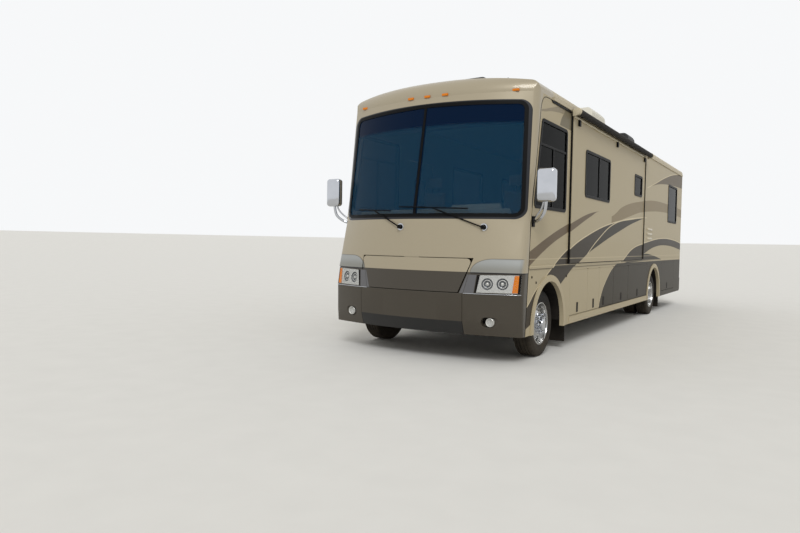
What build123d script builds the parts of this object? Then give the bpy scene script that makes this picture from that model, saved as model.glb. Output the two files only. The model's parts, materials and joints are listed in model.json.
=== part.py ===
from build123d import *
from functools import lru_cache
from math import cos, radians, sin, sqrt
import os

# Driving sizes in millimetres. X points to the vehicle's left, Y to its rear and Z up. The origin is on
# the ground, under the middle of the overall length. Places along the vehicle are given as distances
# behind the front axle, and station() turns them into Y.
OVERALL_LENGTH = 10520
BODY_WIDTH = 2588
WHEELBASE = 6147
FRONT_OVERHANG = 1120
RECEIVER_REACH = 100
BODY_REAR = OVERALL_LENGTH - FRONT_OVERHANG - RECEIVER_REACH
CLEARANCE = 8
RUNNING_GAP = 0.3
HINGE_RADIUS = CLEARANCE / 2 - RUNNING_GAP

# Levels of the body above the ground.
SKIRT_BOTTOM = 330
DOOR_BOTTOM = 430
DOOR_TOP = 1040
SKIRT_TOP = 1084
FLOOR_THICKNESS = 50
ROOF_CROWN = 3320
ROOF_EDGE = ROOF_CROWN - 95
WALL_TOP = ROOF_EDGE - 125
ROOF_THICKNESS = 80
ROOF_CORNER = 110
BUMPER_TOP = 795

# Thickness of each kind of panel.
WALL = 50
SKIRT = 40
CAP_WALL = 45
DOOR = 32
GLASS = 6

# Wheels and tyres.
TYRE_RADIUS = 403
TYRE_WIDTH = 230
TYRE_SIDES = 48
BEAD_RADIUS = 248
BEAD_INSET = 28
SHOULDER_WIDTH = 24
SHOULDER_DROP = 32
RIM_HALF_WIDTH = 98
RIM_WALL = 14
FLANGE_WIDTH = 6
FLANGE_HEIGHT = 11
FRONT_TRACK_HALF = 1090
REAR_OUTER_HALF = 1130
REAR_INNER_HALF = 873
HAND_HOLES = 10
HAND_HOLE_RADIUS = 22
HAND_HOLE_CIRCLE = 194
LUG_CIRCLE = 112
LUG_RADIUS = 15
SPINDLE_RADIUS = 36
KINGPIN_X = 950
KINGPIN_RADIUS = 18

# Arches cut in the skirts: radius, and how far the moulding stands round and out from the opening.
FRONT_ARCH = 520
REAR_ARCH = 550
ARCH_TRIM_WIDTH = 75
ARCH_TRIM_PROUD = 14

# Belt moulding along the bottom of each wall.
BELT_PROUD = 10
BELT_HEIGHT = 36

# Frame rails: outside half width, section and level.
RAIL_HALF = 432
RAIL_FLANGE = 76
RAIL_BOTTOM = 572
RAIL_TOP = 792
RAIL_WEB = 10

# Slide-out room: its fascia covers the opening in the wall by the lap all round.
SLIDE_START = 680
SLIDE_END = 4950
SLIDE_BOTTOM = 1132
SLIDE_TOP = WALL_TOP - 50
SLIDE_LAP = 50
SLIDE_DEPTH = 700
SLIDE_WALL = 30
SLIDE_FASCIA = 26
SEAL_WIDTH = 22

# Entry door on the right side, its window and its step well.
ENTRY_START = 800
ENTRY_END = 1520
ENTRY_TOP = WALL_TOP - 480
ENTRY_HINGE = ENTRY_START + CLEARANCE / 2 + 1
ENTRY_WINDOW = ((960, 1650), (1360, 1650), (1360, 2350), (960, 2350))
WELL_INNER = 680

# Propeller shaft and towing receiver.
PROPSHAFT_START = 640
RECEIVER_LEVEL = 432
RECEIVER_HALF = 32
SHANK_HALF = 25.4
RECEIVER_END = BODY_REAR + RECEIVER_REACH
HITCH_PIN = RECEIVER_END - 30
HITCH_PIN_RADIUS = 8

FRONT_AXLE_Y = FRONT_OVERHANG - OVERALL_LENGTH / 2
HALF = BODY_WIDTH / 2
AXLE_Z = TYRE_RADIUS
FLOOR_TOP = SKIRT_TOP + FLOOR_THICKNESS - 4
DASH_FRONT, DASH_REAR, DASH_TOP = -700, -640, 1600
FLOOR_BOTTOM = FLOOR_TOP - FLOOR_THICKNESS
BAY_INNER = 660
ROOF_FRONT = -30
REAR_SEAM = BODY_REAR - 160
REAR_CORNER = 120
REAR_BUMPER = 45
REAR_BUMPER_LEVELS = (SKIRT_BOTTOM + 20, 640)

# Seam between the moulded front and the sides: height, distance behind the front axle.
SEAM = ((SKIRT_BOTTOM, -752), (1700, -649), (WALL_TOP, -376))

# Level sections of the moulded front: height, front at the centre line, front at the side, corner radius.
FRONT_SECTIONS = (
    (SKIRT_BOTTOM, -1035, -835, 60),
    (480, -1105, -850, 70),
    (BUMPER_TOP, -1120, -860, 80),
    (1200, -1090, -790, 90),
    (1660, -1058, -665, 100),
    (WALL_TOP - 106, -822, -516, 110),
    (WALL_TOP, -790, -505, 112),
    (WALL_TOP + 300, -766, -489, 115),
)
BROW_RADIUS = 230
BROW_STEP = 1.5

# Windows of a side: start, start at the top, end, bottom, top, corner radius.
CAB_WINDOW = (-590, -388, 522, 1775, WALL_TOP - 284, 60)
BED_WINDOW = (REAR_SEAM - 1700, REAR_SEAM - 1700, REAR_SEAM - 630, WALL_TOP - 1182, WALL_TOP - 350, 60)
LEFT_WINDOWS = (CAB_WINDOW, BED_WINDOW)
RIGHT_WINDOWS = (
    CAB_WINDOW,
    (2200, 2200, 3400, WALL_TOP - 1075, WALL_TOP - 425, 60),
    (4250, 4250, 5000, WALL_TOP - 900, WALL_TOP - 425, 60),
    BED_WINDOW,
)
SLIDE_WINDOWS = (
    (1235, 1235, 2510, WALL_TOP - 1075, WALL_TOP - 425, 60),
    (4130, 4130, 4720, WALL_TOP - 835, WALL_TOP - 460, 50),
)
REAR_WINDOW_HALF = 560
REAR_WINDOW_LEVELS = (WALL_TOP - 1020, WALL_TOP - 420)
WINDOW_FRAME = 38
WINDOW_BAR = 26
FRAME_PROUD = 8

# Bars that divide the windows: the cab window's level bar and the post below it, and the slide-out
# window's post, as distances behind the front axle and a height.
CAB_BAR_LEVEL = WALL_TOP - 580
CAB_POST = 20
SLIDE_POST = 1920

# Storage bays: start and end behind the front axle.
REAR_ARCH_FRONT = WHEELBASE - REAR_ARCH - 97
REAR_BAY = (WHEELBASE + REAR_ARCH + 263, REAR_SEAM - 760)
LEFT_BAYS = ((775, 1570), (1570, 2170), (2170, 2990), (2990, 3975), (3975, REAR_ARCH_FRONT), REAR_BAY)
RIGHT_BAYS = ((1600, 3550), (3550, REAR_ARCH_FRONT), REAR_BAY)
BAY_PLATE = 20

# Windscreen outline seen from the front: bottom, top, half widths there, corner radius.
SCREEN_BOTTOM, SCREEN_TOP = 1662, WALL_TOP - 106
SCREEN_RISE = 22
SCREEN_BOTTOM_HALF, SCREEN_TOP_HALF = 1238, 1202
SCREEN_CORNER = 110
SCREEN_RUBBER = 42
SCREEN_STRIP = 16

# Places across the front of the small lamps above the windscreen.
MARKER_PLACES = (-1055, -237, 0, 237, 1055)

# Roof units: two x, start behind the front axle, length, height and length of the sloping ends.
ROOF_UNITS = (
    (240, 860, 2950, 980, 350, 200),
    (-310, 310, REAR_SEAM - 2140, 950, 330, 200),
    (560, 880, 5350, 700, 290, 120),
    (-210, 210, 4550, 420, 130, 60),
    (-300, 300, 60, 620, 250, 180),
)

# Wipers: x of the pivot, x of the blade's ends and its level.
WIPERS = ((-180, -920, -330, 1752), (840, -200, 670, 1768))
WIPER_PIVOT_LEVEL = 1545
WIPER_STAND = 34

# Seams of the bumper between its middle and its corners, and the fog lamps: x, height, radius.
BUMPER_SEAMS = (-770, 655)
BUMPER_SEAM = 5
FOG_LAMP = (960, 484, 50)
FOG_RECESS = (95, 56)

# Raised brow above each headlamp, seen from the front, and how far its lower and upper edges stand out.
BROW_OUTLINE = ((735, 1036), (745, 1085), (785, 1140), (840, 1172), (900, 1180), (1280, 1180), (1280, 1036))
BROW_PROUD = (16, 3)

# Hood in the moulded front, seen from the front: x and height of its corners. One side leans.
HOOD_HINGE_HALF = 100
HOOD_SKIN = 12
HOOD_CORNER = 45
HOOD_LEANING_GAP = 14
HOOD_STIFFENER_INSET = 34
HOOD_OUTLINE = ((-770, 1198), (760, 1198), (615, BUMPER_TOP + 6), (-770, BUMPER_TOP + 6))

# Headlamp unit on the left, seen from the front: x and height of its corners.
LAMP_OUTLINE = ((812, 1010), (1272, 1020), (1272, 815), (790, 812))
LAMP_BOWLS = ((925, 912, 66), (1085, 916, 66))


def station(distance):
    """Y of a place given by its distance behind the front axle."""
    return FRONT_AXLE_Y + distance


def block(x_range, y_range, z_range):
    """Box between two x, two distances behind the front axle and two heights."""
    (x0, x1), (y0, y1), (z0, z1) = sorted(x_range), sorted(y_range), sorted(z_range)
    middle = ((x0 + x1) / 2, station((y0 + y1) / 2), (z0 + z1) / 2)
    return Pos(*middle) * Box(x1 - x0, y1 - y0, z1 - z0)


def rod(start, end, radius):
    """Round bar between two points given as x, distance behind the front axle, height."""
    a = Vector(start[0], station(start[1]), start[2])
    b = Vector(end[0], station(end[1]), end[2])
    return extrude(Plane(origin=a, z_dir=b - a) * Circle(radius), amount=(b - a).length)


def tube(points, radius, bend):
    """Round bar along straight runs joined by equal bends."""
    path = FilletPolyline(*[(x, station(y), z) for x, y, z in points], radius=bend)
    return sweep(Plane(origin=path @ 0, z_dir=path % 0) * Circle(radius), path=path)


def side_plate(points, x_range, corner=0):
    """Plate between two x whose outline is given as distances behind the front axle and heights."""
    outline = make_face(Polyline(*[(station(y), z) for y, z in points], close=True))
    if corner:
        outline = fillet(outline.vertices(), corner)
    x0, x1 = sorted(x_range)
    return extrude(Plane.YZ.offset(x0) * outline, amount=x1 - x0, dir=(1, 0, 0))


def front_plate(points, y_range, corner=0):
    """Plate between two distances behind the front axle whose outline is given as x and heights."""
    outline = make_face(Polyline(*points, close=True))
    if corner:
        outline = fillet(outline.vertices(), corner)
    y0, y1 = sorted(y_range)
    face = Plane(origin=(0, station(y0), 0), x_dir=(1, 0, 0), z_dir=(0, -1, 0)) * outline
    return extrude(face, amount=y1 - y0, dir=(0, 1, 0))


def mirrored(shape):
    """The same shape on the other side of the vehicle."""
    return mirror(shape, about=Plane.YZ)


def both_sides(shape):
    """A shape and its mirror image, as one group of solids."""
    return shape + mirrored(shape)


def seam_at(height):
    """Distance behind the front axle of the front's seam at a height."""
    for (low, y_low), (high, y_high) in zip(SEAM, SEAM[1:]):
        if height <= high:
            break
    return y_low + (y_high - y_low) * (height - low) / (high - low)


def front_section(height, front, side, corner, inset):
    """Level section of the moulded front, moved inwards by an inset."""
    radius = (HALF**2 + (side - front) ** 2) / (2 * (side - front))
    inner = radius - inset
    half = HALF - inset
    start = station(front + radius) - sqrt(inner**2 - half**2)
    arc = ThreePointArc((-half, start), (0, station(front + inset)), (half, start))
    back = Polyline((half, start), (half, station(ROOF_FRONT)), (-half, station(ROOF_FRONT)), (-half, start))
    face = make_face(arc + back)
    face = fillet(face.vertices().sort_by(Axis.Y)[:2], corner - inset / 2)
    return Pos(0, 0, height) * face


def front_row(height):
    """Front, side and corner radius of the moulded front at a height."""
    for low, high in zip(FRONT_SECTIONS, FRONT_SECTIONS[1:]):
        if height <= high[0]:
            break
    share = (height - low[0]) / (high[0] - low[0])
    return [a + share * (b - a) for a, b in zip(low[1:], high[1:])]


def front_place(x, height):
    """Distance behind the front axle of the moulded front's face at an x and a height."""
    front, side, _ = front_row(height)
    radius = (HALF**2 + (side - front) ** 2) / (2 * (side - front))
    return front + radius - sqrt(radius**2 - x**2)


def brow_form(inset):
    """Everything under the rounded top edge of the front, which turns about the front's own plan arc."""
    level, front, side, _ = FRONT_SECTIONS[-2]
    radius = (HALF**2 + (side - front) ** 2) / (2 * (side - front))
    edge, bend = radius - BROW_STEP - inset, BROW_RADIUS - inset
    lines = Polyline((edge - bend, level + bend), (0, level + bend), (0, 0), (2 * radius, 0),
                     (2 * radius, level), (edge, level))
    middle = (edge - bend + bend * cos(radians(45)), level + bend * sin(radians(45)))
    face = make_face(lines + ThreePointArc((edge, level), middle, (edge - bend, level + bend)))
    turned = revolve(Plane.XZ * face, axis=Axis.Z)
    return Pos(0, station(front + radius), 0) * turned


@lru_cache(maxsize=None)
def front_volume(inset):
    """Solid form of the moulded front, moved inwards by an inset all round."""
    sections = [front_section(*row, inset) for row in FRONT_SECTIONS]
    body = loft(sections, ruled=True) & brow_form(inset)
    return body & roof_form(inset, (-2000, ROOF_FRONT + 100))


def roof_form(inset, y_range):
    """Everything under the crowned roof line between two distances behind the front axle."""
    half = HALF - inset
    edge, crown = ROOF_EDGE - inset, ROOF_CROWN - inset
    lines = Polyline((half, edge), (half, 0), (-half, 0), (-half, edge))
    face = make_face(lines + ThreePointArc((-half, edge), (0, crown), (half, edge)))
    face = fillet(face.vertices().sort_by(Axis.Y)[-2:], ROOF_CORNER - inset)
    y0, y1 = sorted(y_range)
    section = Plane(origin=(0, station(y0), 0), x_dir=(1, 0, 0), z_dir=(0, -1, 0)) * face
    return extrude(section, amount=y1 - y0, dir=(0, 1, 0))


def front_clip(low, high):
    """What lies ahead of the front's seam between two heights."""
    top = min(high, WALL_TOP)
    levels = [low] + [z for z, _ in SEAM if low < z < top] + [top]
    edge = [(seam_at(z), z) for z in levels]
    if high > WALL_TOP:
        edge += [(ROOF_FRONT, WALL_TOP), (ROOF_FRONT, high)]
    return side_plate([(-2000, low)] + edge + [(-2000, high)], (-HALF - 50, HALF + 50))


def front_shell(outer, inner):
    """Skin of the moulded front between two insets."""
    return front_volume(outer) - front_volume(inner)


def screen_outline():
    """Corners of the windscreen opening seen from the front."""
    return (
        (-SCREEN_BOTTOM_HALF, SCREEN_BOTTOM), (SCREEN_BOTTOM_HALF, SCREEN_BOTTOM),
        (SCREEN_TOP_HALF, SCREEN_TOP), (0, SCREEN_TOP + SCREEN_RISE), (-SCREEN_TOP_HALF, SCREEN_TOP),
    )


def screen_prism(margin):
    """Block through the windscreen opening, smaller all round by a margin."""
    (x0, z0), (x1, _), (x2, z2), (x3, z3), (x4, _) = screen_outline()
    points = ((x0 + margin, z0 + margin), (x1 - margin, z0 + margin),
              (x2 - margin, z2 - margin), (x3, z3 - margin), (x4 + margin, z2 - margin))
    return front_plate(points, (-1300, -300), SCREEN_CORNER - margin)


def window_outline(window, margin=0):
    """Corners of a side window, smaller all round by a margin."""
    start, top_start, end, bottom, top, _ = window
    return ((start + margin, bottom + margin), (end - margin, bottom + margin),
            (end - margin, top - margin), (top_start + margin, top - margin))


def window_hole(window, x_range, margin=0):
    """Block through a wall at a side window."""
    return side_plate(window_outline(window, margin), x_range, window[5] - margin)


def window_frame(window, outer, inner):
    """Black frame that fills the edge of a window opening and stands proud of the wall."""
    ring = window_hole(window, (inner, outer + FRAME_PROUD))
    ring -= window_hole(window, (inner - 1, outer + FRAME_PROUD + 1), WINDOW_FRAME)
    return ring


def window_bar(low, high, outer):
    """Bar across a pane between two corners given as distance behind the front axle and height."""
    return block((outer - 3 * GLASS, outer + FRAME_PROUD / 2), (low[0], high[0]), (low[1], high[1]))


def cab_window_bars():
    """Level bar and post of the left cab window."""
    start, top_start, end, bottom, top, _ = CAB_WINDOW
    edge = start + (top_start - start) * (CAB_BAR_LEVEL - bottom) / (top - bottom)
    half = WINDOW_BAR / 2
    bars = window_bar((edge + WINDOW_BAR, CAB_BAR_LEVEL - half), (end - WINDOW_BAR, CAB_BAR_LEVEL + half),
                      HALF)
    return bars + window_bar((CAB_POST - half, bottom + WINDOW_BAR), (CAB_POST + half, CAB_BAR_LEVEL), HALF)


def rear_window(y_range, margin=0):
    """Plate at the rear window between two distances behind the front axle, smaller by a margin."""
    half, (low, high) = REAR_WINDOW_HALF - margin, REAR_WINDOW_LEVELS
    points = ((-half, low + margin), (half, low + margin), (half, high - margin), (-half, high - margin))
    return front_plate(points, y_range, 60 - margin)


def window_pane(window, outer):
    """Pane in its frame, with its face a little inside the wall's."""
    return window_hole(window, (outer - 2 * GLASS, outer - GLASS), WINDOW_FRAME)


def faceted_ring(section):
    """Ring of plane faces round the X axis, from its section's corners as place along X and distance out."""
    turn = radians(180 / TYRE_SIDES)
    faces = []
    for index in range(TYRE_SIDES):
        for (x0, out0), (x1, out1) in zip(section, section[1:] + section[:1]):
            corners = []
            for x, out, side in ((x0, out0, -1), (x0, out0, 1), (x1, out1, 1), (x1, out1, -1)):
                angle = (2 * index + side) * turn
                corners.append((x, out / cos(turn) * sin(angle), -out / cos(turn) * cos(angle)))
            faces.append(make_face(Polyline(*corners, close=True)).face())
    return Solid(Shell(faces))


def tyre_form(centre):
    """Tyre as a many-sided ring round the X axis, centred at a distance along it."""
    half = TYRE_WIDTH / 2
    seat, tread, shoulder = half - BEAD_INSET, half - SHOULDER_WIDTH, TYRE_RADIUS - SHOULDER_DROP
    section = ((-seat, BEAD_RADIUS), (-half, shoulder), (-tread, TYRE_RADIUS),
               (tread, TYRE_RADIUS), (half, shoulder), (seat, BEAD_RADIUS))
    return Pos(centre, 0, 0) * faceted_ring(section)


def rim_form(centre, dish, hub_radius):
    """Steel wheel: barrel with flanges, dished disc with hand holes, and a hub with its lugs."""
    outer = BEAD_RADIUS - RUNNING_GAP
    inner, flange = outer - RIM_WALL, outer + FLANGE_HEIGHT
    seat = RIM_HALF_WIDTH - FLANGE_WIDTH
    barrel = ((-RIM_HALF_WIDTH, inner), (-RIM_HALF_WIDTH, flange), (-seat, flange), (-seat, outer),
              (seat, outer), (seat, flange), (RIM_HALF_WIDTH, flange), (RIM_HALF_WIDTH, inner))
    shape = revolve(make_face(Polyline(*barrel, close=True)), axis=Axis.X)
    rim_end = max(-RIM_HALF_WIDTH + 20, min(RIM_HALF_WIDTH - 20, dish - 40))
    disc = ((rim_end - 4, inner + 2), (rim_end + 4, inner + 2), (rim_end + 4, HAND_HOLE_CIRCLE - 28),
            (dish + 7, LUG_CIRCLE + 36), (dish + 7, hub_radius - 6), (dish - 7, hub_radius - 6),
            (dish - 7, LUG_CIRCLE + 34), (rim_end - 4, HAND_HOLE_CIRCLE - 30))
    plate = revolve(make_face(Polyline(*disc, close=True)), axis=Axis.X)
    for index in range(HAND_HOLES):
        angle = radians(360 * index / HAND_HOLES)
        place = Plane(origin=(rim_end - 80, HAND_HOLE_CIRCLE * cos(angle), HAND_HOLE_CIRCLE * sin(angle)),
                      z_dir=(1, 0, 0))
        plate -= extrude(place * Circle(HAND_HOLE_RADIUS), amount=200)
    shape += plate
    return Pos(centre, 0, 0) * shape


def wheel_place(distance):
    """Where a wheel built round the X axis goes."""
    return Pos(0, station(distance), AXLE_Z)


def front_wheel():
    """Front wheel of the left side: tyre and rim."""
    tyre = tyre_form(FRONT_TRACK_HALF)
    rim = rim_form(FRONT_TRACK_HALF, 40, 72)
    hub = Pos(FRONT_TRACK_HALF, 0, 0) * hub_form(-20, 118, 72)
    lugs = lug_ring(FRONT_TRACK_HALF + 46, 26)
    place = wheel_place(0)
    return place * tyre, place * (rim + hub + lugs)


def hub_form(start, end, radius):
    """Hub barrel with a rounded cap, bored from its inner end for the spindle."""
    barrel = ((start, SPINDLE_RADIUS + RUNNING_GAP), (start, radius), (end - 30, radius),
              (end, radius - 24), (end, 0), (end - 22, 0), (end - 22, SPINDLE_RADIUS + RUNNING_GAP))
    return revolve(make_face(Polyline(*barrel, close=True)), axis=Axis.X)


def lug_ring(start, length):
    """Ring of wheel nuts."""
    nuts = None
    for index in range(HAND_HOLES):
        angle = radians(360 * (index + 0.5) / HAND_HOLES)
        place = Plane(origin=(start, LUG_CIRCLE * cos(angle), LUG_CIRCLE * sin(angle)), z_dir=(1, 0, 0))
        nut = extrude(place * Circle(LUG_RADIUS), amount=length)
        nuts = nut if nuts is None else nuts + nut
    return nuts


def rear_wheels():
    """Pair of rear wheels of the left side: tyres, and rims on one hub."""
    tyres = tyre_form(REAR_OUTER_HALF) + tyre_form(REAR_INNER_HALF)
    face = (REAR_OUTER_HALF + REAR_INNER_HALF) / 2
    outer = rim_form(REAR_OUTER_HALF, face + 7 - REAR_OUTER_HALF, 90)
    inner = mirror(rim_form(-REAR_INNER_HALF, REAR_INNER_HALF - face + 7, 90), about=Plane.YZ)
    hub = Pos(face, 0, 0) * hub_form(-60, 190, 90)
    lugs = lug_ring(face + 12, 30)
    place = wheel_place(WHEELBASE)
    return place * tyres, place * (outer + inner + hub + lugs)


def chassis_frame():
    """Two channel rails with crossmembers, risers under the floor, jacks and a hitch at the tail."""
    start, end = -830, REAR_SEAM - 20
    web = block((RAIL_HALF - RAIL_WEB, RAIL_HALF), (start, end), (RAIL_BOTTOM, RAIL_TOP))
    flanges = block((RAIL_HALF - RAIL_FLANGE, RAIL_HALF), (start, end), (RAIL_BOTTOM, RAIL_BOTTOM + RAIL_WEB))
    flanges += block((RAIL_HALF - RAIL_FLANGE, RAIL_HALF), (start, end), (RAIL_TOP - RAIL_WEB, RAIL_TOP))
    rail = web + flanges
    for place in (-620, 600):
        rail += block((RAIL_HALF - RAIL_FLANGE, RAIL_HALF), (place, place + 60), (RAIL_TOP, FLOOR_BOTTOM))
    for place in (1250, WHEELBASE + 1003):
        rail += block((RAIL_HALF, RAIL_HALF + 90), (place, place + 90), (RAIL_BOTTOM, RAIL_BOTTOM + 160))
        rail += rod((RAIL_HALF + 45, place + 45, 250), (RAIL_HALF + 45, place + 45, RAIL_BOTTOM + 20), 38)
        rail += rod((RAIL_HALF + 45, place + 45, 238), (RAIL_HALF + 45, place + 45, 250), 90)
    frame = both_sides(rail)
    rear_places = (2600, 4200, WHEELBASE - 947, WHEELBASE + 853, REAR_SEAM - 240)
    for place in (-800, 1350, *rear_places):
        frame += block((-RAIL_HALF + RAIL_WEB, RAIL_HALF - RAIL_WEB), (place, place + 60),
                       (RAIL_BOTTOM + RAIL_WEB, RAIL_TOP - RAIL_WEB))
    for place in (1350, *rear_places):
        frame += block((-RAIL_HALF, RAIL_HALF), (place, place + 60), (RAIL_TOP, FLOOR_BOTTOM))
    frame -= rod((0, 1000, PROPSHAFT_START), (0, WHEELBASE - 200, AXLE_Z + 20), 80)
    low, high = RECEIVER_LEVEL - RECEIVER_HALF, RECEIVER_LEVEL + RECEIVER_HALF
    receiver = block((-RECEIVER_HALF, RECEIVER_HALF), (REAR_SEAM - 180, RECEIVER_END), (low, high))
    receiver += block((-420, 420), (REAR_SEAM - 120, REAR_SEAM - 50), (low, high))
    receiver += both_sides(block((380, 422), (REAR_SEAM - 140, REAR_SEAM - 30), (low, RAIL_BOTTOM)))
    bore = (RECEIVER_LEVEL - SHANK_HALF, RECEIVER_LEVEL + SHANK_HALF)
    receiver -= block((-SHANK_HALF, SHANK_HALF), (REAR_SEAM + 40, RECEIVER_END + 10), bore)
    receiver -= rod((-60, HITCH_PIN, RECEIVER_LEVEL), (60, HITCH_PIN, RECEIVER_LEVEL), HITCH_PIN_RADIUS)
    return frame + receiver


def front_axle():
    """Dropped beam axle with an eye at each end and a leaf pack on each side."""
    beam = front_plate(((-840, 350), (-600, 262), (600, 262), (840, 350), (840, 440), (600, 352),
                        (-600, 352), (-840, 440)), (-36, 36))
    end = block((820, KINGPIN_X - 5), (-30, 30), (355, 435))
    end += rod((KINGPIN_X, 0, 350), (KINGPIN_X, 0, 440), 38)
    end -= rod((KINGPIN_X, 0, 300), (KINGPIN_X, 0, 500), KINGPIN_RADIUS + RUNNING_GAP)
    spring = block((357, 431), (-720, 720), (352, 400))
    for place in (-720, 660):
        spring += block((357, 431), (place, place + 60), (400, RAIL_BOTTOM))
    return beam + both_sides(end + spring)


def knuckle():
    """Left steering knuckle: two ears on the kingpin, and the spindle."""
    ears = rod((KINGPIN_X, 0, AXLE_Z + 42), (KINGPIN_X, 0, AXLE_Z + 76), 38)
    ears += rod((KINGPIN_X, 0, AXLE_Z - 90), (KINGPIN_X, 0, AXLE_Z - 56), 38)
    ears += block((KINGPIN_X, KINGPIN_X + 60), (-36, 36), (AXLE_Z + 42, AXLE_Z + 76))
    ears += block((KINGPIN_X, KINGPIN_X + 60), (-36, 36), (AXLE_Z - 90, AXLE_Z - 56))
    web = block((KINGPIN_X + 46, KINGPIN_X + 70), (-60, 60), (AXLE_Z - 90, AXLE_Z + 76))
    pin = rod((KINGPIN_X, 0, AXLE_Z - 90), (KINGPIN_X, 0, AXLE_Z + 76), KINGPIN_RADIUS)
    spindle = rod((KINGPIN_X + 50, 0, AXLE_Z), (FRONT_TRACK_HALF + 88, 0, AXLE_Z), SPINDLE_RADIUS)
    return ears + web + pin + spindle


def rear_axle():
    """Drive axle: housing, tubes, spindles, leaf packs and the propeller shaft."""
    housing = Pos(0, station(WHEELBASE), AXLE_Z) * Sphere(175)
    tube_half = REAR_INNER_HALF - 180
    axle = housing + rod((-tube_half, WHEELBASE, AXLE_Z), (tube_half, WHEELBASE, AXLE_Z), 62)
    spindle_end = (REAR_OUTER_HALF + REAR_INNER_HALF) / 2 + 150
    axle += rod((-spindle_end, WHEELBASE, AXLE_Z), (spindle_end, WHEELBASE, AXLE_Z), SPINDLE_RADIUS)
    axle += rod((0, 1154, PROPSHAFT_START), (0, WHEELBASE - 150, AXLE_Z + 20), 45)
    spring = block((470, 540), (WHEELBASE - 780, WHEELBASE + 780), (AXLE_Z + 55, AXLE_Z + 105))
    for place in (WHEELBASE - 780, WHEELBASE + 720):
        spring += block((RAIL_HALF, 540), (place, place + 60), (AXLE_Z + 105, RAIL_BOTTOM + 90))
    return axle + both_sides(spring)


def engine_block():
    """Engine with its gearbox, as one plain block."""
    engine = block((-300, 300), (-520, 450), (500, 1010))
    engine += block((-180, 180), (450, 1150), (540, 860))
    for place in (-300, 150):
        foot = block((300, RAIL_HALF - RAIL_FLANGE - RUNNING_GAP), (place, place + 100),
                     (RAIL_BOTTOM, RAIL_BOTTOM + 40))
        engine += both_sides(foot)
    return engine


def fuel_tank():
    """Tank slung between the rails behind the rear axle."""
    half = RAIL_HALF - RAIL_FLANGE - RUNNING_GAP
    tank = block((-half, half), (WHEELBASE + 1073, REAR_SEAM - 520), (440, 760))
    tank = fillet(tank.edges().filter_by(Axis.Y), 60)
    return tank


def exhaust():
    """Pipe from the engine along the right side, with its silencer, to the tail."""
    level = 520
    pipe = tube(((-300, 300, level), (-595, 300, level), (-595, BODY_REAR - 60, level)), 38, 150)
    silencer = rod((-560, 3000, level), (-560, 4200, level), 88)
    return pipe + silencer


def floor_deck():
    """Deck of the living space, with the well of the entry steps cut out."""
    deck = block((-HALF + WALL + 2, HALF - WALL - 2), (DASH_FRONT, BODY_REAR - WALL - 2),
                 (FLOOR_BOTTOM, FLOOR_TOP))
    deck = fillet(deck.edges().filter_by(Axis.Z).group_by(Axis.Y)[-1], 75)
    return deck - block((-HALF, -WELL_INNER), (ENTRY_START - 20, ENTRY_END + 20),
                        (FLOOR_BOTTOM - 1, FLOOR_TOP + 1))


def bay_box(bays, x_range):
    """Row of storage compartments open to the side, with a plate between two neighbours."""
    outer_x, inner_x = x_range
    runs = [bays[:-1], bays[-1:]]
    result = None
    for run in runs:
        shape = block((inner_x, outer_x), (run[0][0], run[-1][1]), (DOOR_BOTTOM - 10, FLOOR_BOTTOM))
        for start, end in run:
            shape -= block((inner_x + BAY_PLATE, outer_x + 1), (start + BAY_PLATE / 2, end - BAY_PLATE / 2),
                           (DOOR_BOTTOM + 10, FLOOR_BOTTOM - BAY_PLATE))
        result = shape if result is None else result + shape
    return result


def storage_bays():
    """Storage compartments of both sides."""
    left = bay_box(LEFT_BAYS, (HALF - SKIRT, BAY_INNER))
    right = mirrored(bay_box(RIGHT_BAYS, (HALF - SKIRT, BAY_INNER)))
    return left + right


def entry_steps():
    """Step well behind the entry door, with one tread inside and the folded step below."""
    y_range = (ENTRY_START - 20, ENTRY_END + 20)
    inner = (ENTRY_START + 2, ENTRY_END - 2)
    well = block((-HALF + SKIRT, -WELL_INNER), y_range, (DOOR_BOTTOM - 10, FLOOR_BOTTOM))
    well -= block((-HALF, -WELL_INNER - 20), inner, (DOOR_BOTTOM + 10, FLOOR_TOP + 1))
    well += block((-WELL_INNER - 300, -WELL_INNER - 20), inner, (DOOR_BOTTOM + 10, 780))
    well += block((-HALF + 60, -WELL_INNER - 60), (ENTRY_START + 60, ENTRY_END - 60), (330, 370))
    well += block((-HALF + 120, -WELL_INNER - 100), (ENTRY_START + 60, ENTRY_START + 90),
                  (370, DOOR_BOTTOM - 10))
    well += block((-HALF + 120, -WELL_INNER - 100), (ENTRY_END - 90, ENTRY_END - 60), (370, DOOR_BOTTOM - 10))
    return well


def arch_cut(place, radius, x_range):
    """Wheel arch: a round top with straight sides down to the skirt's edge."""
    x0, x1 = sorted(x_range)
    round_top = rod((x0, place, AXLE_Z), (x1, place, AXLE_Z), radius)
    return round_top + block((x0, x1), (place - radius, place + radius), (0, AXLE_Z))


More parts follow.
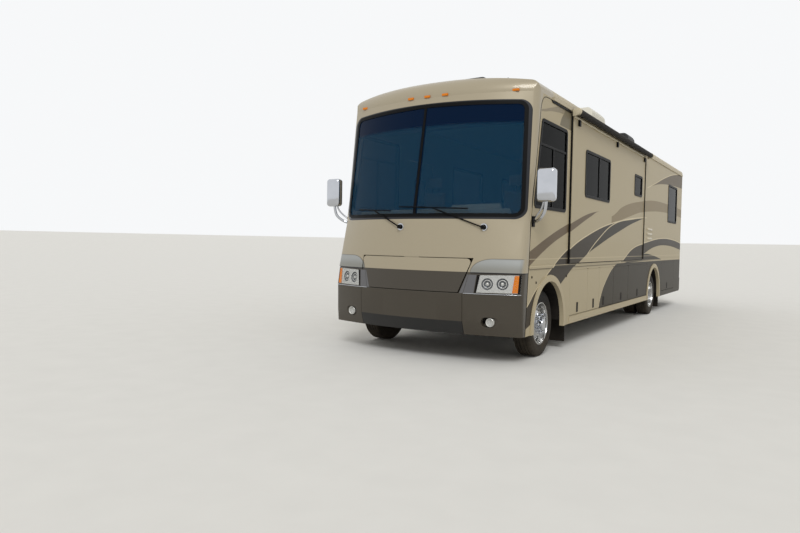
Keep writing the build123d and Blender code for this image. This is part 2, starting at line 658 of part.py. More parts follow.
def skirt_side(openings):
    """Lower side panel of the left side, with arches and the door openings."""
    levels = [SKIRT_BOTTOM, SKIRT_TOP]
    front = [(seam_at(z), z) for z in levels]
    outline = front + [(REAR_SEAM, SKIRT_TOP), (REAR_SEAM, SKIRT_BOTTOM)]
    panel = side_plate(outline, (HALF - SKIRT, HALF))
    for place, radius in ((0, FRONT_ARCH), (WHEELBASE, REAR_ARCH)):
        trim = arch_cut(place, radius + ARCH_TRIM_WIDTH, (HALF, HALF + ARCH_TRIM_PROUD))
        panel += trim & block((0, HALF + 100), (seam_at(600), REAR_SEAM), (SKIRT_BOTTOM, SKIRT_TOP - 4))
        panel -= arch_cut(place, radius, (HALF - SKIRT - 1, HALF + ARCH_TRIM_PROUD + 1))
    panel += block((HALF, HALF + 8), (760, WHEELBASE - REAR_ARCH - ARCH_TRIM_WIDTH - 2),
                   (SKIRT_BOTTOM + 4, DOOR_BOTTOM - 12))
    for start, end, bottom, top in openings:
        panel -= block((HALF - SKIRT - 1, HALF + 40), (start, end), (bottom, top))
    return panel


def skirts():
    """Lower side panels of both sides."""
    left = skirt_side(((LEFT_BAYS[0][0], LEFT_BAYS[-2][1], DOOR_BOTTOM, DOOR_TOP),
                       (LEFT_BAYS[-1][0], LEFT_BAYS[-1][1], DOOR_BOTTOM, DOOR_TOP)))
    right = skirt_side(((RIGHT_BAYS[0][0], RIGHT_BAYS[-2][1], DOOR_BOTTOM, DOOR_TOP),
                        (RIGHT_BAYS[-1][0], RIGHT_BAYS[-1][1], DOOR_BOTTOM, DOOR_TOP),
                        (ENTRY_START, ENTRY_END, DOOR_BOTTOM, SKIRT_TOP + 1)))
    return left + mirrored(right)


def wall_plate():
    """Side wall of the left side before its openings are cut."""
    front = [(seam_at(z), z) for z in (SKIRT_TOP, 1700, WALL_TOP)]
    return side_plate(front + [(REAR_SEAM, WALL_TOP), (REAR_SEAM, SKIRT_TOP)], (HALF - WALL, HALF))


def belt_moulding(start, end):
    """Moulding along the bottom of the left wall between two distances behind the front axle."""
    return block((HALF, HALF + BELT_PROUD), (start, end), (SKIRT_TOP, SKIRT_TOP + BELT_HEIGHT))


def left_wall():
    """Left side wall with its windows and the opening of the slide-out room."""
    wall = wall_plate()
    for window in LEFT_WINDOWS:
        wall -= window_hole(window, (HALF - WALL - 1, HALF + 1))
    wall -= block((HALF - WALL - 1, HALF + 1), (SLIDE_START + SLIDE_LAP, SLIDE_END - SLIDE_LAP),
                  (SLIDE_BOTTOM + SLIDE_LAP, SLIDE_TOP - SLIDE_LAP))
    return wall + belt_moulding(seam_at(SKIRT_TOP) + 12, REAR_SEAM)


def right_wall():
    """Right side wall with its windows and the doorway."""
    wall = wall_plate()
    for window in RIGHT_WINDOWS:
        wall -= window_hole(window, (HALF - WALL - 1, HALF + 1))
    wall += belt_moulding(seam_at(SKIRT_TOP) + 12, ENTRY_START - BELT_PROUD)
    wall += belt_moulding(ENTRY_END + BELT_PROUD, REAR_SEAM)
    wall -= block((HALF - WALL - 1, HALF + 1), (ENTRY_START, ENTRY_END), (SKIRT_TOP - 1, ENTRY_TOP))
    return mirrored(wall)


def roof():
    """Crowned roof with a gutter rail along each side."""
    y_range = (ROOF_FRONT, REAR_SEAM)
    shape = roof_form(0, y_range) - roof_form(ROOF_THICKNESS, (ROOF_FRONT - 1, REAR_SEAM + 1))
    shape &= block((-HALF, HALF), y_range, (WALL_TOP, ROOF_CROWN + 10))
    rail = block((HALF, HALF + 16), y_range, (WALL_TOP - 16, WALL_TOP + 22))
    return shape + both_sides(rail)


def lamp_brow():
    """Raised form above the left headlamp that runs out into the face above it."""
    sections = []
    for height, proud in zip((BROW_OUTLINE[0][1], BROW_OUTLINE[-2][1]), BROW_PROUD):
        front, side, corner = front_row(height)
        sections.append(front_section(height, front - proud, side - proud, corner, 0))
    brow = loft(sections, ruled=True) - front_volume(1)
    brow &= front_plate(BROW_OUTLINE, (-1300, -600))
    return brow & front_clip(BROW_OUTLINE[0][1], BROW_OUTLINE[-2][1])


def front_cap():
    """Moulded front from the bumper up to the roof, open for the windscreen, hood and lamps."""
    cap = front_shell(0, CAP_WALL) & front_clip(BUMPER_TOP, ROOF_CROWN + 50)
    cap += both_sides(lamp_brow())
    cap -= screen_prism(0)
    cap -= front_plate(HOOD_OUTLINE, (-1300, -900))
    cap -= both_sides(front_plate(LAMP_OUTLINE, (-1300, -758)))
    return cap


def front_bumper():
    """Moulded bumper in three parts under the hood and lamps, with a recess for each fog lamp."""
    bumper = front_shell(0, CAP_WALL) & front_clip(SKIRT_BOTTOM, BUMPER_TOP)
    for x in BUMPER_SEAMS:
        bumper -= block((x - BUMPER_SEAM / 2, x + BUMPER_SEAM / 2), (-1300, -700),
                        (SKIRT_BOTTOM - 1, BUMPER_TOP + 1))
    x, z, _ = FOG_LAMP
    half_x, half_z = FOG_RECESS
    floor = front_place(x, z) + SKIRT
    points = [(x + a * half_x, z + b * half_z) for a, b in ((-1, -1), (1, -1), (1, 1), (-1, 1))]
    return bumper - both_sides(front_plate(points, (-1300, floor - 8), half_z - 2))


def hood_prism(gap, leaning_gap, corner):
    """Block through the hood opening, smaller by a gap at its edges, with rounded top corners."""
    (x0, z0), (x1, _), (x2, z2), (x3, _) = HOOD_OUTLINE
    points = ((x3 + gap, z2 + gap), (x2 - leaning_gap, z2 + gap), (x1 - leaning_gap, z0 - gap),
              (x0 + gap, z0 - gap))
    prism = front_plate(points, (-1300, -880))
    return fillet(prism.edges().filter_by(Axis.Y).group_by(Axis.Z)[-1], corner)


def hood():
    """Access panel in the moulded front, with a short hinge barrel in the middle of its top edge."""
    gap = CLEARANCE
    panel = front_shell(0, HOOD_SKIN) & hood_prism(gap, HOOD_LEANING_GAP, HOOD_CORNER)
    inset = gap + HOOD_STIFFENER_INSET
    panel += front_shell(HOOD_SKIN - 1, DOOR) & hood_prism(inset, inset, HOOD_CORNER)
    level = HOOD_OUTLINE[0][1] - gap / 2
    place = front_place(0, level) + gap / 2
    barrel = rod((-HOOD_HINGE_HALF, place, level), (HOOD_HINGE_HALF, place, level), HINGE_RADIUS)
    leaf = block((-HOOD_HINGE_HALF, HOOD_HINGE_HALF), (place, place + HOOD_SKIN - gap / 2),
                 (level - gap, level))
    return panel + barrel + leaf


def headlamps():
    """Lamp units in the corners of the front with two round bowls each, and fog lamps below."""
    unit = front_shell(3, CAP_WALL) & front_plate(LAMP_OUTLINE, (-1300, -758.5))
    for x, z, radius in LAMP_BOWLS:
        unit -= rod((x, -1200, z), (x, front_place(x, z) + CAP_WALL / 2, z), radius)
    x, z, radius = FOG_LAMP
    floor = front_place(x, z) + SKIRT - 8
    unit += rod((x, floor - 24, z), (x, floor, z), radius)
    return both_sides(unit)


def rear_cap():
    """Moulded rear wall with rounded corners."""
    outer = block((-HALF, HALF), (REAR_SEAM - 200, BODY_REAR), (SKIRT_BOTTOM, ROOF_CROWN + 10))
    outer = fillet(outer.edges().filter_by(Axis.Z).group_by(Axis.Y)[-1], REAR_CORNER)
    bumper = block((-HALF, HALF), (REAR_SEAM - 200, BODY_REAR + REAR_BUMPER), REAR_BUMPER_LEVELS)
    outer += fillet(bumper.edges().filter_by(Axis.Z).group_by(Axis.Y)[-1], REAR_CORNER)
    inner = block((-HALF + WALL, HALF - WALL), (REAR_SEAM - 300, BODY_REAR - WALL),
                  (0, ROOF_CROWN - ROOF_THICKNESS))
    inner &= roof_form(WALL, (REAR_SEAM - 300, BODY_REAR))
    cap = (outer & roof_form(0, (REAR_SEAM - 250, BODY_REAR + 100))) - inner
    cap -= block((-60, 60), (REAR_SEAM, BODY_REAR + 100), (0, RECEIVER_LEVEL + RECEIVER_HALF + 26))
    cap -= rear_window((REAR_SEAM, BODY_REAR + 10))
    return cap & block((-HALF - 10, HALF + 10), (REAR_SEAM, BODY_REAR + 100), (0, ROOF_CROWN + 10))


def centre_strip():
    """Block through the front at the strip between the two panes."""
    return block((-SCREEN_STRIP, SCREEN_STRIP), (-1400, -200), (SCREEN_BOTTOM, SCREEN_TOP))


def windscreen():
    """Two curved panes with the centre strip between them."""
    return front_shell(8, 8 + GLASS) & (screen_prism(SCREEN_RUBBER) - centre_strip())


def window_frames():
    """Black frames of the side windows and the rubber round the windscreen."""
    panes = screen_prism(SCREEN_RUBBER) - centre_strip()
    frames = front_shell(0, 24) & (screen_prism(0) - panes)
    frames += both_sides(cab_window_bars())
    frames += rear_window((BODY_REAR - WALL, BODY_REAR + FRAME_PROUD)) - rear_window(
        (BODY_REAR - WALL - 1, BODY_REAR + FRAME_PROUD + 1), WINDOW_FRAME)
    for window in LEFT_WINDOWS:
        frames += window_frame(window, HALF, HALF - WALL)
    for window in RIGHT_WINDOWS:
        frames += mirrored(window_frame(window, HALF, HALF - WALL))
    return frames


def window_glass():
    """Panes of the side windows."""
    panes = None
    for window in LEFT_WINDOWS:
        pane = window_pane(window, HALF)
        panes = pane if panes is None else panes + pane
    for window in RIGHT_WINDOWS:
        panes += mirrored(window_pane(window, HALF))
    panes += rear_window((BODY_REAR - 2 * GLASS, BODY_REAR - GLASS), WINDOW_FRAME)
    return panes - both_sides(cab_window_bars())


def mirror_head(x_range, y_range, z_range):
    """Rounded mirror head."""
    head = block(x_range, y_range, z_range)
    return fillet(head.edges(), 45)


def mirrors():
    """Tall mirror heads on arms from the corners of the front."""
    head = mirror_head((1370, 1592), (-760, -640), (1830, 2200))
    arm = rod((HALF + 12, -600, 1620), (1460, -690, 1740), 16)
    arm += rod((1460, -690, 1735), (1460, -690, 1880), 16)
    arm += block((HALF, HALF + 14), (-635, -565), (1560, 1680))
    return both_sides(head + arm)


def wipers():
    """Two wiper arms with their blades below the windscreen."""
    result = None
    for pivot, start, end, level in WIPERS:
        face = front_place(pivot, WIPER_PIVOT_LEVEL)
        middle = (start + end) / 2
        mark = [(x, front_place(x, z) - WIPER_STAND, z) for x, z in
                ((start, level + 14), (start + (middle - start) / 2, level + 7), (middle, level),
                 (middle + (end - middle) / 2, level - 7), (end, level - 14))]
        blade = rod(mark[0], mark[1], 8) + rod(mark[1], mark[2], 8) + rod(mark[2], mark[3], 8)
        blade += rod(mark[3], mark[4], 8)
        arm = rod((pivot, face - WIPER_STAND, WIPER_PIVOT_LEVEL), mark[2], 8)
        arm += rod((pivot, face + 20, WIPER_PIVOT_LEVEL),
                   (pivot, face - WIPER_STAND - 10, WIPER_PIVOT_LEVEL), 22)
        part = arm + blade
        result = part if result is None else result + part
    return result - front_volume(0)


def marker_lamps():
    """Five small lamps in a row above the windscreen."""
    lamps = None
    for x in MARKER_PLACES:
        face = front_place(x, WALL_TOP)
        lamp = block((x - 38, x + 38), (face - 14, face + 40),
                     (WALL_TOP + 2, WALL_TOP + 28)) - front_volume(0)
        lamps = lamp if lamps is None else lamps + lamp
    return lamps


def tail_lamps():
    """Tall lamp strips in the rear corners."""
    lamp = block((1010, 1130), (BODY_REAR, BODY_REAR + 22), (900, 1330))
    return both_sides(lamp)


def rear_ladder():
    """Ladder on the rear wall up to the roof."""
    out, top = BODY_REAR + 84, WALL_TOP - 40
    ladder = None
    for x in (-980, -640):
        side = tube(((x, BODY_REAR, 1150), (x, out, 1150), (x, out, top), (x, BODY_REAR, top)), 14, 60)
        ladder = side if ladder is None else ladder + side
    for step in range(6):
        level = 1300 + step * (top - 1510) / 5
        ladder += rod((-980, out, level), (-640, out, level), 12)
    return ladder


def roof_units():
    """Air conditioners, a satellite dome and vent covers on the roof."""
    units = None
    for low, high, start, length, height, slope in ROOF_UNITS:
        top = ROOF_CROWN + height
        points = ((start, ROOF_CROWN - 120), (start, ROOF_CROWN + height / 3), (start + slope, top),
                  (start + length - slope, top), (start + length, ROOF_CROWN + height / 3),
                  (start + length, ROOF_CROWN - 120))
        unit = side_plate(points, (low, high))
        unit = chamfer(unit.edges().filter_by(Axis.Y).group_by(Axis.Z)[-1], height / 4)
        unit -= roof_form(0, (start - 50, start + length + 50))
        units = unit if units is None else units + unit
    return units


def patio_awning():
    """Rolled awning along the right side with its two folded arms."""
    x, level = -HALF - 62, WALL_TOP - 90
    roll = rod((x, 1750, level), (x, REAR_SEAM - 2540, level), 48)
    for y in (1790, REAR_SEAM - 2580):
        roll += block((-HALF, x), (y - 22, y + 22), (level - 25, level + 25))
        roll += block((-HALF, -HALF - 36), (y - 22, y + 22), (1300, level - 25))
    return roll


def mud_flaps():
    """Rubber flaps behind the front and rear wheels."""
    flaps = None
    for side, start, inner in ((1, LEFT_BAYS[0][0], 1000), (-1, ENTRY_START - 20, 1000),
                               (1, LEFT_BAYS[-1][0], 760), (-1, RIGHT_BAYS[-1][0], 760)):
        place = start - RUNNING_GAP
        flap = block((side * inner, side * 1240), (place - 12, place), (95, 560))
        flaps = flap if flaps is None else flaps + flap
    return flaps


def dashboard():
    """Shelf and instrument panel behind the windscreen."""
    body = front_volume(CAP_WALL + 6)
    shelf = body & block((-HALF, HALF), (-1300, DASH_REAR), (DASH_TOP - 40, DASH_TOP))
    fascia = body & block((-HALF, HALF), (DASH_FRONT, DASH_REAR), (FLOOR_TOP, DASH_TOP - 39))
    return shelf + fascia


def cab_seats():
    """Two seats on pedestals."""
    seat = block((400, 840), (40, 520), (FLOOR_TOP + 320, FLOOR_TOP + 450))
    seat += block((400, 840), (470, 590), (FLOOR_TOP + 450, FLOOR_TOP + 1180))
    seat += block((500, 740), (150, 420), (FLOOR_TOP, FLOOR_TOP + 320))
    return both_sides(seat)


def steering_wheel():
    """Large flat-set wheel on its column, ahead of the left seat."""
    centre = Plane(origin=(620, station(-400), 1750), z_dir=(0, 0.45, 1))
    rim = revolve(Plane.XZ * Pos(215, 0) * RegularPolygon(15, 6), axis=Axis.Z)
    wheel = centre * rim
    for angle in (90, 210, 330):
        wheel += centre * Rot(0, 0, angle) * Pos(105, 0, 0) * Box(210, 34, 14)
    column = extrude(centre * Circle(32), amount=-640)
    return wheel + column - dashboard()


def cabinets():
    """Overhead locker behind the windscreen, galley and wardrobe along the right wall."""
    overhead = block((-HALF + WALL, HALF - WALL), (-420, -140), (WALL_TOP - 270, WALL_TOP - 70))
    galley = block((-1230, -640), (2300, 4100), (FLOOR_TOP, 1980))
    wardrobe = block((-1230, -600), (WHEELBASE - 447, WHEELBASE + 853), (FLOOR_TOP, WALL_TOP - 100))
    return overhead + galley + wardrobe


def slideout_shell():
    """Slide-out room: fascia with its laps, and the box behind it, open towards the living space."""
    fascia = block((HALF + RUNNING_GAP, HALF + SLIDE_FASCIA), (SLIDE_START, SLIDE_END),
                   (SLIDE_BOTTOM, SLIDE_TOP))
    room_y = (SLIDE_START + SLIDE_LAP + CLEARANCE, SLIDE_END - SLIDE_LAP - CLEARANCE)
    room_z = (SLIDE_BOTTOM + SLIDE_LAP + CLEARANCE, SLIDE_TOP - SLIDE_LAP - CLEARANCE)
    room = block((HALF - SLIDE_DEPTH, HALF + RUNNING_GAP), room_y, room_z)
    room -= block((HALF - SLIDE_DEPTH - 1, HALF - SLIDE_WALL),
                  (room_y[0] + SLIDE_WALL, room_y[1] - SLIDE_WALL),
                  (room_z[0] + SLIDE_WALL, room_z[1] - SLIDE_WALL))
    room += fascia
    for window in SLIDE_WINDOWS:
        room -= window_hole(window, (HALF - 100, HALF + 100))
    return room


def slide_post():
    """Post that divides the slide-out room's first window."""
    _, _, _, bottom, top, _ = SLIDE_WINDOWS[0]
    half = WINDOW_BAR / 2
    return window_bar((SLIDE_POST - half, bottom + WINDOW_BAR), (SLIDE_POST + half, top - WINDOW_BAR),
                      HALF + SLIDE_FASCIA)


def slide_seals():
    """Rubber seals along the two upright edges of the slide-out room's fascia."""
    out, levels = (HALF + RUNNING_GAP, HALF + SLIDE_FASCIA - 6), (SLIDE_BOTTOM, SLIDE_TOP)
    return block(out, (SLIDE_START - SEAL_WIDTH, SLIDE_START), levels) + block(
        out, (SLIDE_END, SLIDE_END + SEAL_WIDTH), levels)


def slideout_frames():
    """Black frames and seals of the slide-out room."""
    frames = None
    for window in SLIDE_WINDOWS:
        ring = window_frame(window, HALF + SLIDE_FASCIA, HALF - SLIDE_WALL)
        frames = ring if frames is None else frames + ring
    return frames + slide_post() + slide_seals()


def slideout_glass():
    """Panes of the slide-out room's windows."""
    panes = None
    for window in SLIDE_WINDOWS:
        pane = window_pane(window, HALF + SLIDE_FASCIA)
        panes = pane if panes is None else panes + pane
    return panes - slide_post()


def slideout_topper():
    """Rolled cover over the slide-out room, on a bracket at each end."""
    x, level = HALF + 92, SLIDE_TOP + 20
    roll = rod((x, 660, level), (x, 5070, level), 42)
    for y in (640, 5050):
        roll += block((HALF + SLIDE_FASCIA, x + 20), (y, y + 40), (level - 60, level + 30))
    return roll


def bay_door(start, end):
    """Storage bay door of the left side, with its hinge barrel along the top."""
    y0, y1 = start + CLEARANCE / 2, end - CLEARANCE / 2
    door = block((HALF - DOOR, HALF), (y0, y1), (DOOR_BOTTOM + CLEARANCE, DOOR_TOP - CLEARANCE + 1))
    axis_x, axis_z = HALF - CLEARANCE / 2, DOOR_TOP - CLEARANCE / 2
    return door + rod((axis_x, y0 + 40, axis_z), (axis_x, y1 - 40, axis_z), HINGE_RADIUS)


def entry_door():
    """Entry door with its window cut and its hinge barrel along the front edge."""
    y_range = (ENTRY_START + CLEARANCE - 1, ENTRY_END - CLEARANCE)
    door = block((-HALF, -HALF + SKIRT), y_range, (DOOR_BOTTOM + CLEARANCE, ENTRY_TOP - CLEARANCE))
    axis = (-HALF + CLEARANCE / 2, ENTRY_HINGE)
    door += rod((*axis, DOOR_BOTTOM + 60), (*axis, ENTRY_TOP - 60), HINGE_RADIUS)
    return door - side_plate(ENTRY_WINDOW, (-HALF - 1, -HALF + SKIRT + 1), 60)


def entry_door_glass():
    """Pane of the entry door."""
    return side_plate(ENTRY_WINDOW, (-HALF + 6, -HALF + 14), 60)


def pieces():
    """Every piece of the vehicle by its name."""
    tyre, rim = front_wheel()
    tyres, rims = rear_wheels()
    left_knuckle = knuckle()
    made = {
        "chassis_frame": chassis_frame(), "front_axle": front_axle(), "rear_axle": rear_axle(),
        "engine_block": engine_block(), "fuel_tank": fuel_tank(), "exhaust": exhaust(),
        "floor_deck": floor_deck(), "storage_bays": storage_bays(), "entry_steps": entry_steps(),
        "skirts": skirts(), "left_wall": left_wall(), "right_wall": right_wall(), "roof": roof(),
        "front_cap": front_cap(), "front_bumper": front_bumper(), "rear_cap": rear_cap(),
        "windscreen": windscreen(), "window_frames": window_frames(), "window_glass": window_glass(),
        "mirrors": mirrors(), "wipers": wipers(), "headlamps": headlamps(),
        "marker_lamps": marker_lamps(), "tail_lamps": tail_lamps(), "rear_ladder": rear_ladder(),
        "roof_units": roof_units(), "patio_awning": patio_awning(), "mud_flaps": mud_flaps(),
        "dashboard": dashboard(), "cab_seats": cab_seats(), "steering_wheel": steering_wheel(),
        "cabinets": cabinets(),
        "slideout_shell": slideout_shell(), "slideout_frames": slideout_frames(),
        "slideout_glass": slideout_glass(), "slideout_topper": slideout_topper(),
        "knuckle_left": left_knuckle, "knuckle_right": mirrored(left_knuckle),
        "front_tyre_left": tyre, "front_rim_left": rim,
        "front_tyre_right": mirrored(tyre), "front_rim_right": mirrored(rim),
        "rear_tyres_left": tyres, "rear_rims_left": rims,
        "rear_tyres_right": mirrored(tyres), "rear_rims_right": mirrored(rims),
        "hood": hood(), "entry_door": entry_door(), "entry_door_glass": entry_door_glass(),
    }
    for index, (start, end) in enumerate(LEFT_BAYS, 1):
        made[f"bay_door_left_{index}"] = bay_door(start, end)
    for index, (start, end) in enumerate(RIGHT_BAYS, 1):
        made[f"bay_door_right_{index}"] = mirrored(bay_door(start, end))
    return made


os.makedirs("parts", exist_ok=True)
for name, shape in pieces().items():
    export_step(shape, f"parts/{name}.step")
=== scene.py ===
"""Looks of a motorhome: finishes, trims, wheels, lamps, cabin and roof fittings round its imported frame."""

import json
import logging
import math
from collections.abc import Callable, Iterable, Sequence
from dataclasses import dataclass
from enum import Enum

import bpy
from mathutils import Matrix, Vector


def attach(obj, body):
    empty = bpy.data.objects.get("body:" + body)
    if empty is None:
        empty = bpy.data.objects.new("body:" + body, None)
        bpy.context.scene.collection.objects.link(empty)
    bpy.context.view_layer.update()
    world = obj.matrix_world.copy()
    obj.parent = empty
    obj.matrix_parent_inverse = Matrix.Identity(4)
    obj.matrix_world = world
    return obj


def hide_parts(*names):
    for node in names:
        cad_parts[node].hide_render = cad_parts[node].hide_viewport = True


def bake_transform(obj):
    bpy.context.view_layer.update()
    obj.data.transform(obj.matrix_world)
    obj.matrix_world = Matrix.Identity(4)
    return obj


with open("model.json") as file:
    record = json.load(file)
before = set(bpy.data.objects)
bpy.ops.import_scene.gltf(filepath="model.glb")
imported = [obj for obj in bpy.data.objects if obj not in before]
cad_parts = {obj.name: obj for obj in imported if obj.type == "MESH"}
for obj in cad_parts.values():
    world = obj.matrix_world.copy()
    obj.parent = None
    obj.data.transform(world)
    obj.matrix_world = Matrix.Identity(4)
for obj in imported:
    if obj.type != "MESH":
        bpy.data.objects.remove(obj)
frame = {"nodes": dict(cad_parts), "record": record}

LOG = logging.getLogger("motorhome")
Point = tuple[float, float, float]
Pair = tuple[float, float]
Colour = tuple[float, float, float]
Pairs = tuple[Pair, ...]
Spans = tuple[Pair, Pair, Pair]
Socket = bpy.types.NodeSocket
Test = Callable[[bpy.types.MeshPolygon], bool]

FRONT_AXLE = -4.140
WHEELBASE = 6.147
REAR_AXLE = FRONT_AXLE + WHEELBASE
SIDE = 1.294
AXLE_LEVEL = 0.403
REAR_WALL = FRONT_AXLE + 9.300


def station(distance: float) -> float:
    """Y of a place given by its distance behind the front axle, in metres."""
    return FRONT_AXLE + distance


def linear(colour: Colour) -> tuple[float, float, float, float]:
    """A colour as seen on screen, from 0 to 1, turned to the linear values that the nodes take."""
    r, g, b = (c / 12.92 if c <= 0.04045 else ((c + 0.055) / 1.055) ** 2.4 for c in colour)
    return (r, g, b, 1.0)


class Axis(Enum):
    """Direction of a turned or extruded form."""

    X = (1.0, 0.0, 0.0)
    Y = (0.0, 1.0, 0.0)
    Z = (0.0, 0.0, 1.0)


class Side(Enum):
    """Side of the vehicle, as the sign of X."""

    LEFT = 1
    RIGHT = -1

    @property
    def word(self) -> str:
        """Name of the side in the pieces' names."""
        return self.name.lower()


# Finishes


@dataclass(frozen=True)
class Level:
    """A number that changes over a surface: one output socket of a material's nodes."""

    tree: bpy.types.NodeTree
    socket: Socket

    def _combined(self, operation: str, first: "Level | float", second: "Level | float") -> "Level":
        """Adds one Math node.

        Args:
            operation: The Math node's operation.
            first: Its first value.
            second: Its second value.

        Returns:
            The node's result.
        """
        node = self.tree.nodes.new("ShaderNodeMath")
        node.operation = operation
        for place, item in zip(node.inputs, (first, second)):
            if isinstance(item, Level):
                self.tree.links.new(item.socket, place)
            else:
                place.default_value = item
        return Level(self.tree, node.outputs[0])

    def __add__(self, other: "Level | float") -> "Level":
        """Sum."""
        return self._combined("ADD", self, other)

    def __radd__(self, other: float) -> "Level":
        """Sum with a plain number first."""
        return self._combined("ADD", other, self)

    def __sub__(self, other: "Level | float") -> "Level":
        """Difference."""
        return self._combined("SUBTRACT", self, other)

    def __rsub__(self, other: float) -> "Level":
        """Difference from a plain number."""
        return self._combined("SUBTRACT", other, self)

    def __mul__(self, other: "Level | float") -> "Level":
        """Product."""
        return self._combined("MULTIPLY", self, other)

    def __rmul__(self, other: float) -> "Level":
        """Product with a plain number first."""
        return self._combined("MULTIPLY", other, self)

    def __truediv__(self, other: "Level | float") -> "Level":
        """Quotient."""
        return self._combined("DIVIDE", self, other)

    def __pow__(self, other: float) -> "Level":
        """Power."""
        return self._combined("POWER", self, other)

    def __and__(self, other: "Level | float") -> "Level":
        """The lower of two, which is where both masks are."""
        return self._combined("MINIMUM", self, other)

    def __or__(self, other: "Level | float") -> "Level":
        """The higher of two, which is where either mask is."""
        return self._combined("MAXIMUM", self, other)

    def __abs__(self) -> "Level":
        """Size without its sign."""
        return self._combined("ABSOLUTE", self, 0.0)


@dataclass(frozen=True)
class Recipe:
    """Nodes of one material or of the world, with its shader and the place on the object."""

    material: bpy.types.Material | bpy.types.World
    tree: bpy.types.NodeTree
    shader: bpy.types.Node
    place: Socket | None = None

    @classmethod
    def new(cls, name: str) -> "Recipe":
        """Starts a material with a shader that reads Object coordinates.

        Args:
            name: The material's name.

        Returns:
            Its recipe.
        """
        material = bpy.data.materials.new(name)
        material.use_nodes = True
        tree = material.node_tree
        shader = next(n for n in tree.nodes if n.type == "BSDF_PRINCIPLED")
        place = tree.nodes.new("ShaderNodeTexCoord").outputs["Object"]
        return cls(material, tree, shader, place)

    def node(self, kind: str, settings: dict | None = None, **values: object) -> bpy.types.Node:
        """Adds any node.

        Args:
            kind: The node's type.
            settings: Properties of the node, set first.
            values: Value, socket or Level for each input by its name, with _ for a space.

        Returns:
            The node.
        """
        node = self.tree.nodes.new(kind)
        for name, value in (settings or {}).items():
            setattr(node, name, value)
        for name, value in values.items():
            self.feed(node.inputs[name.replace("_", " ")], value)
        return node

    def feed(self, socket: Socket, value: object) -> None:
        """Links or sets one input.

        Args:
            socket: The input.
            value: A Level, a socket or a plain value.
        """
        if isinstance(value, Level):
            value = value.socket
        if isinstance(value, Socket):
            self.tree.links.new(value, socket)
        else:
            socket.default_value = value

    def level(self, socket: Socket) -> Level:
        """A socket as a Level."""
        return Level(self.tree, socket)

    def axes(self) -> tuple[Level, Level, Level]:
        """The three Object coordinates, in metres."""
        node = self.node("ShaderNodeSeparateXYZ", Vector=self.place)
        return tuple(self.level(s) for s in node.outputs)

    def noise(self, scale: float, detail: float = 3.0, stretch: Point = (1, 1, 1), seed: float = 0.0) -> Level:
        """Soft random pattern.

        Args:
            scale: Cells to a metre.
            detail: Layers of finer cells.
            stretch: Scale of each axis.
            seed: Place in the pattern.

        Returns:
            Its value, around 0.5.
        """
        mapped = self.node("ShaderNodeMapping", Vector=self.place, Scale=stretch, Location=(seed, seed, seed))
        node = self.node("ShaderNodeTexNoise", Vector=mapped.outputs[0], Scale=scale, Detail=detail)
        return self.level(node.outputs["Fac"])

    def step(self, value: Level, low: float, high: float) -> Level:
        """Smooth change from 0 at low to 1 at high."""
        node = self.node("ShaderNodeMapRange", {"interpolation_type": "SMOOTHSTEP"}, Value=value,
                         From_Min=low, From_Max=high)
        return self.level(node.outputs[0])

    def under(self, value: Level, low: float, high: float) -> Level:
        """Smooth change from 1 at low to 0 at high."""
        return 1.0 - self.step(value, low, high)

    def between(self, value: Level, rise: Pair, fall: Pair) -> Level:
        """Smooth rise from 0 to 1 over one span of the value, and fall to 0 over another."""
        return self.step(value, *rise) & self.under(value, *fall)

    def mix(self, mask: Level | float, first: object, second: object) -> Socket:
        """Colour that goes from first to second.

        Args:
            mask: Share of the second.
            first: Colour or socket where the mask is 0.
            second: Colour or socket where it is 1.

        Returns:
            The mixed colour's socket.
        """
        node = self.tree.nodes.new("ShaderNodeMix")
        node.data_type = "RGBA"
        self.feed(node.inputs[0], mask)
        self.feed(node.inputs[6], first)
        self.feed(node.inputs[7], second)
        return node.outputs[2]

    def painted(self, colour: Socket, coats: Iterable[tuple[Level, Colour]]) -> Socket:
        """Lays coats of paint over one another.

        Args:
            colour: The ground's colour.
            coats: Mask and colour of each coat, the lowest first.

        Returns:
            The uppermost colour's socket.
        """
        for mask, coat in coats:
            colour = self.mix(mask, colour, linear(coat))
        return colour

    def curve(self, value: Level, points: Sequence[Pair], low: Pair, high: Pair) -> Level:
        """Smooth line through a few points.

        Args:
            value: Where along the line.
            points: The points, in metres.
            low: Lowest of both axes.
            high: Highest of both axes.

        Returns:
            The line's height there, in metres.
        """
        span, rise = high[0] - low[0], high[1] - low[1]
        node = self.tree.nodes.new("ShaderNodeFloatCurve")
        line = node.mapping.curves[0]
        scaled = [((a - low[0]) / span, (b - low[1]) / rise) for a, b in points]
        line.points[0].location, line.points[-1].location = scaled[0], scaled[-1]
        for point in scaled[1:-1]:
            line.points.new(*point)
        node.mapping.update()
        self.feed(node.inputs["Value"], (value - low[0]) / span)
        return self.level(node.outputs[0]) * rise + low[1]

    def bump(self, height: Level, strength: float, distance: float) -> None:
        """Feeds a share of a height pattern, with its depth in metres, to the shader's normal."""
        node = self.node("ShaderNodeBump", Height=height, Strength=strength, Distance=distance)
        self.feed(self.shader.inputs["Normal"], node.outputs[0])

    def set(self, **values: object) -> None:
        """Feeds the shader's inputs by name, with _ for a space."""
        for name, value in values.items():
            self.feed(self.shader.inputs[name.replace("_", " ")], value)


DUST = (0.47, 0.42, 0.35)
DUST_GRAIN, DUST_DETAIL, DUST_SEED = 9.0, 6.0, 3.0
DUST_FOOT = 0.05
DUST_ROUGHNESS = 0.5
COAT_ROUGHNESS = 0.06
GRAIN_DETAIL = 4.0
GRAIN_RELIEF = 0.6


